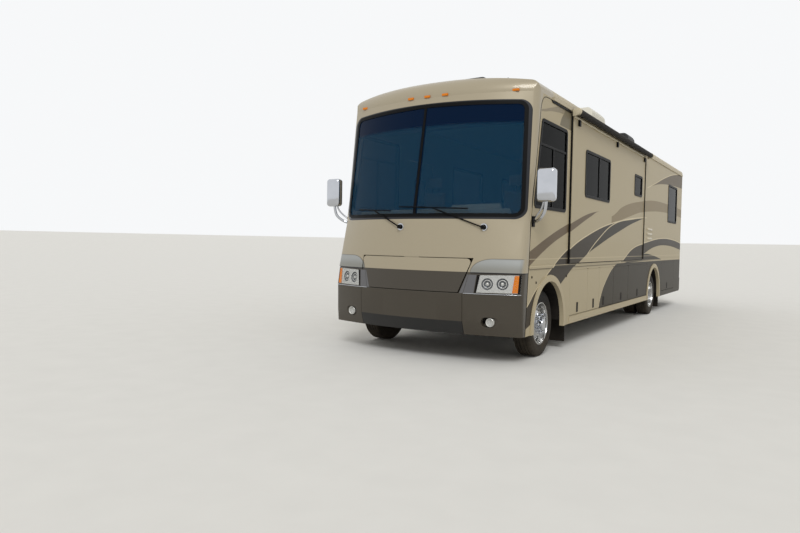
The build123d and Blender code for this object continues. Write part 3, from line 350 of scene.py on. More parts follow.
@dataclass(frozen=True)
class Finish:
    """A finish with two close colours, a grain, and dust towards the ground."""

    name: str
    colour: Colour
    tint: Colour
    grain: float = 30.0
    rough: float = 0.5
    rough_change: float = 0.15
    metal: float = 0.0
    coat: float = 0.0
    depth: float = 0.0
    stretch: Point = (1, 1, 1)
    dust: float = 0.15
    dust_top: float = 1.3
    specular: float = 0.25
    ior: float = 1.45

    def colouring(self, recipe: Recipe) -> Socket:
        """Base colour before dust."""
        grain = recipe.noise(self.grain, GRAIN_DETAIL, self.stretch)
        return recipe.mix(grain, linear(self.colour), linear(self.tint))

    @property
    def label(self) -> str:
        """The material's name, apart from those of the record's slots."""
        return self.name + "_finish"

    def material(self) -> bpy.types.Material:
        """The finish as a material, made once."""
        return bpy.data.materials.get(self.label) or self._made()

    def _made(self) -> bpy.types.Material:
        """Builds the nodes.

        Returns:
            The new material.
        """
        recipe = Recipe.new(self.label)
        grain = recipe.noise(self.grain, GRAIN_DETAIL, self.stretch)
        height = recipe.axes()[2]
        dust = recipe.noise(DUST_GRAIN, DUST_DETAIL, seed=DUST_SEED)
        dust = dust * recipe.under(height, DUST_FOOT, self.dust_top) * self.dust
        recipe.set(Base_Color=recipe.painted(self.colouring(recipe), [(dust, DUST)]),
                   Roughness=grain * self.rough_change + dust * DUST_ROUGHNESS
                   + (self.rough - self.rough_change / 2),
                   Metallic=self.metal, Coat_Weight=self.coat, Coat_Roughness=COAT_ROUGHNESS,
                   Specular_IOR_Level=self.specular, IOR=self.ior)
        if self.depth:
            recipe.bump(grain, GRAIN_RELIEF, self.depth)
        self.extra(recipe)
        return recipe.material

    def extra(self, recipe: Recipe) -> None:
        """Changes that a special finish makes."""


LINE_LOW, LINE_HIGH = (-1.2, 0.3), (9.6, 3.2)


@dataclass(frozen=True)
class Stripe:
    """A painted sweep along the side, between two lines of (distance behind the front axle, height)."""

    colour: Colour
    start: float
    end: float
    upper: Pairs
    lower: Pairs
    pinstripe: bool = False
    soft: float = 0.002
    fade: float = 0.004
    line_edge: Pair = (0.006, 0.010)
    line_foot: Pair = (-0.008, 0.0)

    def masks(self, recipe: Recipe, along: Level, height: Level) -> tuple[Level, Level]:
        """Where the stripe and its pinstripe are.

        Args:
            recipe: The material's recipe.
            along: Distance behind the front axle.
            height: Height above the ground.

        Returns:
            Mask of the stripe and mask of the pinstripe.
        """
        top = recipe.curve(along, self.upper, LINE_LOW, LINE_HIGH) - height
        low = height - recipe.curve(along, self.lower, LINE_LOW, LINE_HIGH)
        span = recipe.between(along, (self.start - self.fade, self.start), (self.end, self.end + self.fade))
        inside = recipe.step(top, -self.soft, self.soft) & recipe.step(low, -self.soft, self.soft) & span
        line = recipe.under(abs(top), *self.line_edge) & recipe.step(low, *self.line_foot) & span
        return inside, line


TAUPE = (0.40, 0.345, 0.27)
DARK_TAUPE = (0.225, 0.20, 0.165)
DEEP = (0.20, 0.18, 0.14)
PALE_LINE = (0.80, 0.75, 0.63)
FLAKE_DETAIL = 1.0

SWEEP_FOOT = (
    (-1.2, 0.3), (0.51, 0.915), (1.32, 1.214), (2.05, 1.385), (3.16, 1.607), (4.27, 1.80), (5.34, 1.925),
    (9.6, 2.0))
STRIPES = (
    Stripe((0.53, 0.475, 0.365), 2.67, 9.50,
           ((-1.2, 1.40), (2.67, 1.828), (3.39, 2.024), (4.95, 2.216), (5.92, 2.287), (7.19, 2.309), (9.6, 2.27)),
           ((-1.2, 1.40), (2.67, 1.70), (3.63, 1.849), (4.98, 2.017), (8.75, 2.106), (9.6, 2.05))),
    Stripe(TAUPE, -0.80, 1.97,
           ((-1.2, 1.10), (-0.72, 1.266), (0.62, 1.631), (1.97, 1.869), (9.6, 1.90)),
           ((-1.2, 0.90), (-0.64, 1.131), (0.07, 1.381), (0.63, 1.527), (1.57, 1.779), (1.97, 1.869),
            (9.6, 1.95))),
    Stripe(DARK_TAUPE, -0.95, 5.34,
           ((-1.2, 0.45), (-0.72, 0.66), (-0.48, 0.819), (-0.10, 1.004), (0.65, 1.31), (1.39, 1.50), (2.81, 1.734),
            (5.34, 1.923), (9.6, 1.95)),
           ((-1.2, 0.3), (-0.3, 0.55), (0.51, 0.915), (1.32, 1.214), (2.05, 1.385), (3.16, 1.607), (4.27, 1.80),
            (5.34, 1.925), (9.6, 2.0)), True),
    Stripe(DEEP, 1.10, 5.34,
           ((-1.2, 0.3), (1.10, 1.10), (1.93, 1.448), (2.87, 1.722), (4.0, 1.84), (5.34, 1.919), (9.6, 1.95)),
           SWEEP_FOOT, True),
    Stripe((0.38, 0.335, 0.26), 5.32, 9.50,
           ((-1.2, 1.2), (4.6, 2.36), (5.32, 2.496), (6.18, 2.671), (6.95, 2.835), (8.14, 3.03), (9.6, 3.15)),
           ((-1.2, 1.8), (4.6, 2.40), (5.32, 2.496), (6.18, 2.633), (7.2, 2.723), (8.53, 2.78), (9.6, 2.80)),
           True),
    Stripe(DARK_TAUPE, 3.20, 9.50,
           ((-1.2, 0.3), (2.9, 1.0), (3.43, 1.127), (4.18, 1.338), (5.22, 1.444), (6.79, 1.552), (8.05, 1.548),
            (9.24, 1.474), (9.6, 1.44)),
           ((-1.2, 0.3), (3.0, 1.085), (4.6, 1.12), (5.25, 1.248), (6.24, 1.378), (7.42, 1.409), (9.27, 1.313),
            (9.6, 1.29)), True),
    Stripe(DEEP, 3.60, 6.80,
           ((-1.2, 0.9), (3.6, 1.085), (5.25, 1.235), (6.0, 1.20), (6.8, 1.125), (9.6, 0.9)),
           ((-1.2, 0.9), (3.6, 1.08), (9.6, 1.08))),
)
CAB_SWEEPS = (
    Stripe((0.55, 0.51, 0.43), -0.45, 0.60,
           ((-1.2, 2.80), (-0.37, 2.919), (-0.09, 2.988), (0.20, 3.054), (0.50, 3.094), (9.6, 3.2)),
           ((-1.2, 2.87), (-0.38, 2.893), (-0.09, 2.945), (0.14, 2.973), (0.27, 2.985), (9.6, 3.19))),
    Stripe((0.46, 0.43, 0.355), 0.215, 0.658,
           ((-1.2, 0.5), (0.215, 2.80), (0.229, 2.848), (0.272, 2.916), (0.357, 2.993), (0.512, 3.094),
            (9.6, 3.2)),
           ((-1.2, 2.835), (0.50, 2.835), (9.6, 2.835))),
)
ARCHES = ((0.0, 0.597), (WHEELBASE, 0.627))
EDGE_LOW, EDGE_HIGH = (0.3, 0.0), (3.2, 9.6)
LOWER_EDGE = ((0.3, 2.10), (0.349, 2.13), (0.584, 2.25), (0.819, 2.53), (1.045, 3.02), (1.13, 3.43), (3.2, 9.0))


@dataclass(frozen=True)
class SidePaint(Finish):
    """Champagne paint of the sides, with its swept stripes, the dark lower rear, and painted highlights and a
    painted shadow line along the belt mouldings.
    """

    outer_faces: Pair = (1.262, 1.268)
    tail_faces: Pair = (9.20, 9.21)
    bay_faces: Pair = (1.10, 1.11)
    belt: Pair = (1.084, 1.088)
    # groove: where a painted shadow line under the belt moulding starts; it ends at the belt.
    groove: Pair = (1.066, 1.076)
    # Painted highlights along the belt mouldings.
    painted_highlight_bands: tuple[tuple[Pair, Pair], ...] = (((1.104, 1.114), (1.118, 1.122)), ((1.186, 1.192), (1.196, 1.204)))
    # Strength of those painted highlights and of the painted shadow line.
    relief: float = 0.45
    edge_soft: float = 0.003
    edge_line: Pair = (0.008, 0.012)
    rail_top: Pair = (0.424, 0.428)
    rail_ends: tuple[Pair, Pair] = ((0.70, 0.71), (5.60, 5.61))

    def colouring(self, recipe: Recipe) -> Socket:
        """Champagne under the stripes, which only the outer faces wear.

        Args:
            recipe: The material's recipe.

        Returns:
            The colour's socket.
        """
        x, y, height = recipe.axes()
        along = y - FRONT_AXLE
        plain = recipe.mix(recipe.noise(self.grain, FLAKE_DETAIL), linear(self.colour), linear(self.tint))
        outside = recipe.step(abs(x), *self.outer_faces) | recipe.step(along, *self.tail_faces) \
            | recipe.under(height, *self.bay_faces)
        return recipe.mix(outside, plain, recipe.painted(plain, self.coats(recipe, along, height)))

    def coats(self, recipe: Recipe, along: Level, height: Level) -> list[tuple[Level, Colour]]:
        """The coats over the champagne, with painted highlights and painted shade among them.

        Args:
            recipe: The material's recipe.
            along: Distance behind the front axle.
            height: Height above the ground.

        Returns:
            Mask and colour of each, the lowest first.
        """
        past = along - recipe.curve(height, LOWER_EDGE, EDGE_LOW, EDGE_HIGH)
        below = recipe.under(height, *self.belt)
        coats = [(recipe.step(past, -self.edge_soft, self.edge_soft) & below, DEEP),
                 (recipe.under(abs(past), *self.edge_line) & below, PALE_LINE)]
        for stripe in (*STRIPES, *CAB_SWEEPS):
            inside, line = stripe.masks(recipe, along, height)
            coats += [(inside, stripe.colour)] + [(line, PALE_LINE)] * stripe.pinstripe
        # Painted highlights on the belt mouldings, and a painted shadow line under the lower one.
        upper, lower = (recipe.between(height, *highlight_band) for highlight_band in self.painted_highlight_bands)
        coats += [((upper | lower) * self.relief, PALE_LINE),
                  (recipe.between(height, self.groove, self.belt) * self.relief, DEEP),
                  (recipe.under(height, *self.rail_top) & recipe.between(along, *self.rail_ends), self.tint)]
        for place, radius in ARCHES:
            reach = ((along - place) ** 2 + (height - AXLE_LEVEL) ** 2) ** 0.5
            coats.append((recipe.under(reach, radius, radius + self.edge_soft), self.tint))
        return coats


@dataclass(frozen=True)
class FrontPaint(Finish):
    """Champagne of the moulded front above a dark bronze lower part, with the black edge of the windscreen, a
    painted highlight on each brow over a headlamp, and painted shade round and under the brows.
    """

    border: float = 1.040
    border_soft: float = 0.002
    brow_start: float = 0.98
    brow_size: Pair = (0.245, 0.152)
    brow_end: Pair = (1.262, 1.290)
    brow_rim: Pair = (0.97, 1.02)
    # Painted highlight on the brows: its share, the heights where it turns paler, and its two greys.
    brow_highlight_share: float = 0.85
    brow_highlight_rise: Pair = (1.06, 1.17)
    brow_highlight_colours: tuple[Colour, Colour] = ((0.49, 0.50, 0.49), (0.59, 0.61, 0.62))
    # Painted shade in a ring round the rim of each brow.
    brow_shade_rim: tuple[Pair, Pair] = ((0.93, 0.98), (1.03, 1.08))
    brow_shade_share: float = 0.65
    brow_shade_colour: Colour = (0.34, 0.32, 0.29)
    screen_half: Pair = (1.132, 0.552)
    screen_foot: float = 1.662
    screen_middle: float = 2.320
    screen_lean: float = 0.015
    screen_arch: float = 0.011
    arch_fall: float = 0.694
    rubber_rim: Pair = (0.0165, 0.0173)
    rubber_colour: Colour = (0.07, 0.08, 0.105)
    bronze: tuple[Colour, Colour] = ((0.235, 0.215, 0.185), (0.28, 0.26, 0.225))
    # Painted shadow in a thin dark band under each brow, above the headlamp.
    under_brow_shadow_level: Pair = (1.024, 1.030)
    under_brow_shadow_start: Pair = (0.735, 0.745)
    under_brow_shadow_colour: Colour = (0.10, 0.10, 0.10)
    under_level: Pair = (0.478, 0.486)
    under_ends: tuple[Pair, Pair] = ((-0.772, -0.768), (0.653, 0.657))
    under_colour: Colour = (0.105, 0.11, 0.115)

    def colouring(self, recipe: Recipe) -> Socket:
        """Champagne above the border and dark bronze below it, with the brows' painted highlight and the painted
        shade round and under them.

        Args:
            recipe: The material's recipe.

        Returns:
            The colour's socket.
        """
        x, _, height = recipe.axes()
        across = abs(x)
        flake = recipe.noise(self.grain, FLAKE_DETAIL)
        upper = recipe.mix(flake, linear(self.colour), linear(self.tint))
        brow, brow_shade = self.brow(recipe, across, height)
        # Painted highlight on the brow, paler upwards.
        brow_highlight = recipe.mix(recipe.step(height, *self.brow_highlight_rise), *map(linear, self.brow_highlight_colours))
        upper = recipe.mix(brow * self.brow_highlight_share, upper, brow_highlight)
        # Painted shade round the brows, then the black edge of the windscreen.
        upper = recipe.painted(upper, [(brow_shade * self.brow_shade_share, self.brow_shade_colour),
                                       (self.rubber(recipe, across, height), self.rubber_colour)])
        # Painted shadow under the brows.
        under_brow_shadow = recipe.step(height, *self.under_brow_shadow_level) & recipe.step(across, *self.under_brow_shadow_start)
        turned_under = recipe.under(height, *self.under_level) & recipe.between(x, *self.under_ends)
        lower = recipe.painted(recipe.mix(flake, *map(linear, self.bronze)),
                               [(under_brow_shadow, self.under_brow_shadow_colour), (turned_under, self.under_colour)])
        below = recipe.under(height, self.border - self.border_soft, self.border + self.border_soft)
        return recipe.mix(below, upper, lower)

    def brow(self, recipe: Recipe, across: Level, height: Level) -> tuple[Level, Level]:
        """The arched brow over a headlamp: where its painted highlight, and the painted shade round it, go.

        Args:
            recipe: The material's recipe.
            across: Distance from the middle.
            height: Height above the ground.

        Returns:
            Mask of the brow's painted highlight and mask of the painted shade round the brow.
        """
        width, rise = self.brow_size
        inner = ((self.brow_start - across) | 0.0) / width
        above = (height - self.border) / rise
        reach = inner * inner + above * above
        span = recipe.under(across, *self.brow_end)
        return span & recipe.under(reach, *self.brow_rim), span & recipe.between(reach, *self.brow_shade_rim)

    def rubber(self, recipe: Recipe, across: Level, height: Level) -> Level:
        """The black edge round the windscreen: an arched rectangle with round corners.

        Args:
            recipe: The material's recipe.
            across: Distance from the middle.
            height: Height above the ground.

        Returns:
            Its mask.
        """
        half_width, half_height = self.screen_half
        arch = (1.0 - across * across * self.arch_fall) * self.screen_arch
        aside = across - (half_width - (height - self.screen_foot) * self.screen_lean)
        away = abs(height - self.screen_middle - arch) - (half_height + arch)
        aside, away = (value * recipe.step(value, 0.0, 0.001) for value in (aside, away))
        return recipe.under(aside * aside + away * away, *self.rubber_rim)


@dataclass(frozen=True)
class Glass(Finish):
    """Tinted glass with a darker band above a level."""

    alpha: float = 0.8
    band: float = 9.0
    band_colour: Colour = (0.02, 0.04, 0.12)
    band_alpha: float = 0.97
    band_fade: Pair = (0.02, 0.03)
    middle: float = 0.0
    middle_soft: float = 0.002

    def dark(self, recipe: Recipe) -> Level:
        """Where the band is, and the strip in front of the middle post.

        Args:
            recipe: The material's recipe.

        Returns:
            Its mask.
        """
        below, above = self.band_fade
        upper = recipe.step(recipe.axes()[2], self.band - below, self.band + above)
        if not self.middle:
            return upper
        return upper | recipe.under(abs(recipe.axes()[0]), self.middle, self.middle + self.middle_soft)

    def colouring(self, recipe: Recipe) -> Socket:
        """Tint of the pane and of its band."""
        return recipe.mix(self.dark(recipe), linear(self.colour), linear(self.band_colour))

    def extra(self, recipe: Recipe) -> None:
        """See-through share, less so in the band."""
        recipe.set(Alpha=self.dark(recipe) * (self.band_alpha - self.alpha) + self.alpha)


@dataclass(frozen=True)
class Cloth(Finish):
    """Woven cloth with a fine square weave."""

    weave: float = 700.0 / 6
    weave_relief: float = 0.35
    weave_depth: float = 0.0006

    def extra(self, recipe: Recipe) -> None:
        """Adds the weave's relief."""
        waves = [recipe.node("ShaderNodeTexWave", {"bands_direction": way}, Vector=recipe.place, Scale=self.weave)
                 for way in "YZ"]
        first, second = (recipe.level(wave.outputs["Fac"]) for wave in waves)
        recipe.bump(first * second, self.weave_relief, self.weave_depth)


CHAMPAGNE = (0.655, 0.61, 0.505)
CHAMPAGNE_TINT = (0.695, 0.65, 0.545)
SIDE_PAINT = SidePaint(
    "champagne_side", CHAMPAGNE, CHAMPAGNE_TINT, 900.0, 0.42, 0.06, 0.0, 0.06, dust=0.08, dust_top=0.9,
    specular=0.3, ior=1.22)
# The front's champagne is the sides' same paint set darker and greyer: painted shade.
FRONT_PAINT = FrontPaint(
    "shaded_champagne_front", (0.615, 0.578, 0.495), (0.655, 0.615, 0.53), 900.0, 0.32, 0.06, 0.1, 0.35, dust=0.05)
CREAM_TRIM = Finish("cream_trim", (0.72, 0.68, 0.58), (0.78, 0.74, 0.64), 60.0, 0.38, 0.1, 0.0, 0.3)
ROOF_SKIN = Finish("roof_skin", (0.74, 0.70, 0.61), (0.70, 0.66, 0.57), 6.0, 0.5, 0.2, depth=0.0004)
CHASSIS_BLACK = Finish(
    "chassis_black", (0.07, 0.07, 0.07), (0.11, 0.10, 0.09), 14.0, 0.6, 0.3, depth=0.0008, dust=0.45)
IRON = Finish("iron", (0.20, 0.20, 0.20), (0.13, 0.12, 0.115), 20.0, 0.65, 0.3, 0.5, depth=0.002, dust=0.4)
PIPE = Finish("pipe_steel", (0.46, 0.43, 0.39), (0.33, 0.27, 0.22), 12.0, 0.42, 0.3, 0.9, dust=0.3)
BOX_PLASTIC = Finish(
    "box_plastic", (0.10, 0.10, 0.10), (0.14, 0.14, 0.135), 120.0, 0.6, 0.2, depth=0.0006, dust=0.3)
BLACK_TRIM = Finish(
    "black_trim", (0.035, 0.035, 0.038), (0.06, 0.06, 0.062), 80.0, 0.45, 0.15, depth=0.0001, ior=1.25)
BLACK_RUBBER = Finish("black_rubber", (0.04, 0.04, 0.042), (0.07, 0.068, 0.066), 60.0, 0.62, 0.2, depth=0.0003)
TYRE_RUBBER = Finish(
    "tyre_rubber", (0.065, 0.065, 0.067), (0.10, 0.098, 0.094), 90.0, 0.72, 0.2, depth=0.0005, dust=0.35,
    dust_top=0.9)
CHROME = Finish("chrome", (0.80, 0.81, 0.83), (0.74, 0.75, 0.77), 8.0, 0.07, 0.05, 1.0, dust=0.04)
WHEEL_METAL = Finish("wheel_metal", (0.78, 0.78, 0.78), (0.68, 0.68, 0.67), 20.0, 0.18, 0.1, 1.0, dust=0.10)
WHEEL_INNER = Finish("wheel_inner", (0.33, 0.32, 0.31), (0.24, 0.23, 0.22), 20.0, 0.5, 0.2, 0.7, dust=0.3)
ALUMINIUM = Finish("aluminium", (0.76, 0.76, 0.75), (0.70, 0.70, 0.69), 40.0, 0.32, 0.12, 1.0)
WHITE_PLASTIC = Finish("white_plastic", (0.86, 0.85, 0.81), (0.80, 0.79, 0.74), 40.0, 0.45, 0.15, depth=0.0003)
DARK_PLASTIC = Finish("dark_plastic", (0.13, 0.13, 0.135), (0.17, 0.17, 0.17), 60.0, 0.5, 0.2, depth=0.0003)
AMBER = Finish("amber_lens", (0.80, 0.42, 0.0), (0.88, 0.52, 0.02), 200.0, 0.16, 0.06, coat=0.3, depth=0.0004)
RED = Finish("red_lens", (0.62, 0.03, 0.03), (0.72, 0.06, 0.05), 200.0, 0.12, 0.06, coat=0.8, depth=0.0004)
REFLECTOR = Finish("lamp_reflector", (0.88, 0.88, 0.88), (0.80, 0.80, 0.80), 50.0, 0.10, 0.1, 1.0, depth=0.0005)
SCREEN_GLASS = Glass(
    "screen_glass", (0.10, 0.24, 0.34), (0.10, 0.24, 0.34), 5.0, 0.04, 0.01, alpha=0.50, band=2.735,
    band_colour=(0.0, 0.085, 0.19), middle=0.026, ior=1.22)
SIDE_GLASS = Glass("side_glass", (0.03, 0.038, 0.038), (0.03, 0.038, 0.038), 5.0, 0.06, 0.01, alpha=0.90, ior=1.10)
LAMP_GLASS = Glass("lamp_glass", (0.55, 0.57, 0.58), (0.55, 0.57, 0.58), 5.0, 0.04, 0.02, alpha=0.10)
LAMP_DARK = Finish("lamp_dark", (0.36, 0.37, 0.39), (0.29, 0.30, 0.32), 120.0, 0.25, 0.1, 0.5, dust=0.0)
LAMP_SILVER = Finish("lamp_silver", (0.84, 0.84, 0.82), (0.74, 0.74, 0.73), 90.0, 0.30, 0.15, 0.35, dust=0.05)
BEZEL_GREY = Finish("bezel_grey", (0.40, 0.40, 0.41), (0.34, 0.34, 0.35), 300.0, 0.34, 0.1, 0.4, 0.5)
MIRROR_GLASS = Finish("mirror_glass", (0.90, 0.91, 0.92), (0.88, 0.89, 0.90), 5.0, 0.02, 0.01, 1.0, dust=0.0)
LEATHER = Finish("tan_leather", (0.68, 0.60, 0.47), (0.61, 0.53, 0.41), 110.0, 0.48, 0.2, depth=0.0012, dust=0.0)
CREAM_DASH = Finish(
    "cream_dash", (0.66, 0.62, 0.53), (0.60, 0.56, 0.47), 160.0, 0.55, 0.15, depth=0.0006, dust=0.0)
# Paler copy of the dashboard's cream for the pads on its top, standing for light on the dash top: painted light.
DASH_TOP_LIT = Finish("dash_top_lit", (0.80, 0.82, 0.76), (0.74, 0.77, 0.70), 160.0, 0.55, 0.15, depth=0.0006, dust=0.0)
WOOD = Finish(
    "cherry_wood", (0.46, 0.27, 0.16), (0.34, 0.19, 0.11), 9.0, 0.35, 0.1, coat=0.4, stretch=(6, 6, 0.6), dust=0.0)
DECK = Finish("deck_floor", (0.55, 0.46, 0.35), (0.47, 0.38, 0.28), 5.0, 0.5, 0.15, stretch=(8, 0.8, 1), dust=0.0)
AWNING = Cloth("awning_cloth", (0.12, 0.115, 0.11), (0.19, 0.18, 0.17), 40.0, 0.85, 0.1, dust=0.0)


# The bench: modelling by hand in object and edit mode


MIRROR = Matrix.Diagonal((-1, 1, 1, 1))
MERGE_DISTANCE = 1e-6
TUBE_RESOLUTION = 3
FLAT_ANGLE = 0.01

def deselect() -> None:
    """Leaves edit mode, and nothing stays selected."""
    active = bpy.context.view_layer.objects.active
    if active and active.mode != "OBJECT":
        bpy.ops.object.mode_set(mode="OBJECT")
    bpy.ops.object.select_all(action="DESELECT")


def facing(axis: Axis, least: float = 0.9, sign: int = 1) -> Test:
    """Test for the faces that look along an axis, or against it where the sign is -1."""
    return lambda face: face.normal.dot(axis.value) * sign > least


@dataclass
class Work:
    """A mesh on the bench, from its primitive to its finished piece."""

    piece: bpy.types.Object

    @classmethod
    def _started(cls, name: str) -> "Work":
        """Takes the primitive that was just added.

        Args:
            name: The piece's name.

        Returns:
            The work on it, with its place in its mesh.
        """
        piece = bpy.context.view_layer.objects.active
        piece.name = piece.data.name = name
        bpy.ops.object.transform_apply(location=True, rotation=True, scale=True)
        return cls(piece)

    @classmethod
    def block(cls, name: str, low: Point, high: Point) -> "Work":
        """A box between two corners.

        Args:
            name: The piece's name.
            low: Its lowest corner.
            high: Its highest corner.

        Returns:
            The work on it.
        """
        deselect()
        middle = [(a + b) / 2 for a, b in zip(low, high)]
        bpy.ops.mesh.primitive_cube_add(size=1, location=middle, scale=[abs(b - a) for a, b in zip(low, high)])
        return cls._started(name)

    @classmethod
    def box(cls, name: str, spans: Spans, start: float = FRONT_AXLE) -> "Work":
        """A box by its spans across, behind a start and up."""
        across, behind, up = spans
        return cls.block(name, *zip(across, (start + distance for distance in behind), up))

    @classmethod
    def bar(cls, name: str, start: Point, end: Point, radius: float, sides: int = 20) -> "Work":
        """A round bar between two points.

        Args:
            name: The piece's name.
            start: Middle of one end.
            end: Middle of the other.
            radius: Its radius.
            sides: Faces round it.

        Returns:
            The work on it.
        """
        deselect()
        a, b = Vector(start), Vector(end)
        turn = (b - a).to_track_quat("Z", "Y").to_euler()
        bpy.ops.mesh.primitive_cylinder_add(vertices=sides, radius=radius, depth=(b - a).length,
                                            location=(a + b) / 2, rotation=turn)
        return cls._started(name)

    @classmethod
    def sheet(cls, name: str, cuts: tuple[int, int], place: Callable[[float, float], Point]) -> "Work":
        """A grid laid on a surface.

        Args:
            name: The piece's name.
            cuts: Its faces along both edges.
            place: Gives a vertex's place from its shares, 0 to 1, of both edges.

        Returns:
            The work on it.
        """
        deselect()
        bpy.ops.mesh.primitive_grid_add(x_subdivisions=cuts[0], y_subdivisions=cuts[1], size=1)
        work = cls._started(name)
        for vertex in work.piece.data.vertices:
            vertex.co = place(vertex.co.x + 0.5, vertex.co.y + 0.5)
        return work

    @classmethod
    def chain(cls, name: str, points: Sequence[Point], closed: bool = False) -> "Work":
        """Edges from point to point, by extruding one vertex.

        Args:
            name: The piece's name.
            points: Places in metres.
            closed: Whether the last joins the first and the loop is filled.

        Returns:
            The work on it.
        """
        deselect()
        bpy.ops.mesh.primitive_plane_add(size=0.01)
        work = cls._started(name).edit_all("VERT")
        bpy.ops.mesh.merge(type="CENTER")
        bpy.ops.transform.translate(value=points[0])
        for here, there in zip(points, points[1:]):
            step = Vector(there) - Vector(here)
            bpy.ops.mesh.extrude_vertices_move(TRANSFORM_OT_translate={"value": step})
        if closed:
            bpy.ops.mesh.select_all(action="SELECT")
            bpy.ops.mesh.edge_face_add()
        return work.done()

    def placed(self, change: Matrix) -> "Work":
        """Moves and turns the whole piece."""
        self.alone().piece.matrix_world = change
        bpy.ops.object.transform_apply(location=True, rotation=True, scale=True)
        return self

    @classmethod
    def plate(cls, name: str, outline: Sequence[Point], depth: Point) -> "Work":
        """A filled outline pushed along a direction."""
        work = cls.chain(name, outline, True).edit_all()
        bpy.ops.mesh.extrude_region_move(TRANSFORM_OT_translate={"value": depth})
        return work.tidied()

    @classmethod
    def turned(cls, name: str, profile: Sequence[Pair], centre: Point, axis: Axis = Axis.X,
               steps: int = 48) -> "Work":
        """A profile of (place along the axis, radius) spun round the axis.

        Args:
            name: The piece's name.
            profile: Its points.
            centre: Where the axis starts.
            axis: Direction of the axis.
            steps: Faces round it.

        Returns:
            The work on it.
        """
        along = Vector(axis.value)
        out = Vector((0, 0, 1)) if axis is not Axis.Z else Vector((0, -1, 0))
        work = cls.chain(name, [tuple(Vector(centre) + along * a + out * r) for a, r in profile])
        work.edit_all("VERT")
        bpy.ops.mesh.spin(steps=steps, angle=math.tau, center=centre, axis=axis.value)
        return work.tidied()

    @classmethod
    def swept(cls, name: str, points: Sequence[Point], radius: float, smooth: bool = True) -> "Work":
        """A round tube along a curve through or near some points.

        Args:
            name: The piece's name.
            points: The route.
            radius: The tube's radius.
            smooth: Whether the route is a NURBS line and not straight runs.

        Returns:
            The work on its mesh.
        """
        deselect()
        bpy.ops.curve.primitive_nurbs_path_add()
        route = bpy.context.view_layer.objects.active
        route.data.splines.clear()
        line = route.data.splines.new("NURBS")
        line.points.add(len(points) - 1)
        for spot, point in zip(line.points, points):
            spot.co = (*point, 1)
        line.order_u = 3 if smooth and len(points) > 2 else 2
        line.use_endpoint_u = True
        route.data.resolution_u = 8 if smooth else 1
        route.data.bevel_depth, route.data.bevel_resolution = radius, TUBE_RESOLUTION
        route.data.use_fill_caps = True
        bpy.ops.object.convert(target="MESH")
        return cls._started(name).tidied()

    @classmethod
    def copied(cls, name: str, node: str, angle: float = 0.6) -> "Work":
        """A CAD node's shape, merged and smoothed, in a new mesh.

        Args:
            name: The piece's name.
            node: The CAD node.
            angle: Edges sharper than this stay sharp.

        Returns:
            The work on the copy.
        """
        piece = bpy.data.objects.new(name, frame["nodes"][node].data.copy())
        bpy.context.scene.collection.objects.link(piece)
        work = cls(piece).edit_all("VERT")
        bpy.ops.mesh.customdata_custom_splitnormals_clear()
        bpy.ops.mesh.remove_doubles(threshold=MERGE_DISTANCE)
        return work.done().smoothed(angle)

    def alone(self) -> "Work":
        """Selects this piece and nothing else."""
        deselect()
        self.piece.select_set(True)
        bpy.context.view_layer.objects.active = self.piece
        return self

    def edit_all(self, mode: str = "FACE", action: str = "SELECT") -> "Work":
        """Goes into edit mode on this piece alone.

        Args:
            mode: VERT, EDGE or FACE.
            action: SELECT for all of it, DESELECT for none.

        Returns:
            The same work.
        """
        self.alone()
        bpy.ops.object.mode_set(mode="EDIT")
        bpy.ops.mesh.select_mode(type=mode)
        bpy.ops.mesh.select_all(action=action)
        return self

    def done(self) -> "Work":
        """Leaves edit mode."""
        bpy.ops.object.mode_set(mode="OBJECT")
        return self

    def tidied(self) -> "Work":
        """Merges doubles and points all faces outwards."""
        self.edit_all("VERT")
        bpy.ops.mesh.remove_doubles(threshold=MERGE_DISTANCE)
        bpy.ops.mesh.normals_make_consistent(inside=False)
        return self.done()

    def choose(self, test: Test) -> "Work":
        """Goes into edit mode with some faces selected.

        Args:
            test: Passes those faces.

        Returns:
            The same work.
        """
        self.edit_all("FACE", "DESELECT").done()
        for face in self.piece.data.polygons:
            face.select = test(face)
        bpy.ops.object.mode_set(mode="EDIT")
        return self

    def inset(self, test: Test, width: float, depth: float, each: bool = False) -> "Work":
        """Insets some faces, and sinks or raises them.

        Args:
            test: Passes those faces.
            width: How far inwards.
            depth: How far out, or in where negative.
            each: Whether each face is inset on its own.

        Returns:
            The same work.
        """
        self.choose(test)
        bpy.ops.mesh.inset(thickness=width, depth=depth, use_individual=each)
        return self.done()

    def modified(self, kind: str, **settings: object) -> "Work":
        """Adds a modifier and applies it.

        Args:
            kind: The modifier's type.
            settings: Its properties.

        Returns:
            The same work.
        """
        self.alone()
        bpy.ops.object.modifier_add(type=kind)
        modifier = self.piece.modifiers[-1]
        for name, value in settings.items():
            setattr(modifier, name, value)
        bpy.ops.object.modifier_apply(modifier=modifier.name)
        return self

    def flattened(self) -> "Work":
        """Joins the triangles of flat faces, so that their edges can be rounded."""
        self.edit_all()
        bpy.ops.mesh.dissolve_limited(angle_limit=FLAT_ANGLE)
        return self.done()

    def bevelled(self, width: float, segments: int = 2, angle: float = 0.5) -> "Work":
        """Rounds the edges sharper than an angle."""
        return self.modified("BEVEL", width=width, segments=segments, limit_method="ANGLE", angle_limit=angle)

    def thickened(self, thickness: float, offset: float = -1.0) -> "Work":
        """Gives an open sheet its thickness."""
        return self.modified("SOLIDIFY", thickness=thickness, offset=offset)

    def subdivided(self, levels: int = 1) -> "Work":
        """Rounds the whole form by subdivision."""
        return self.modified("SUBSURF", levels=levels, render_levels=levels)

    def cut(self, *tools: "Work") -> "Work":
        """Takes other forms away from this one."""
        for tool in tools:
            self.modified("BOOLEAN", operation="DIFFERENCE", object=tool.piece, solver="EXACT")
            bpy.data.objects.remove(tool.piece)
        return self

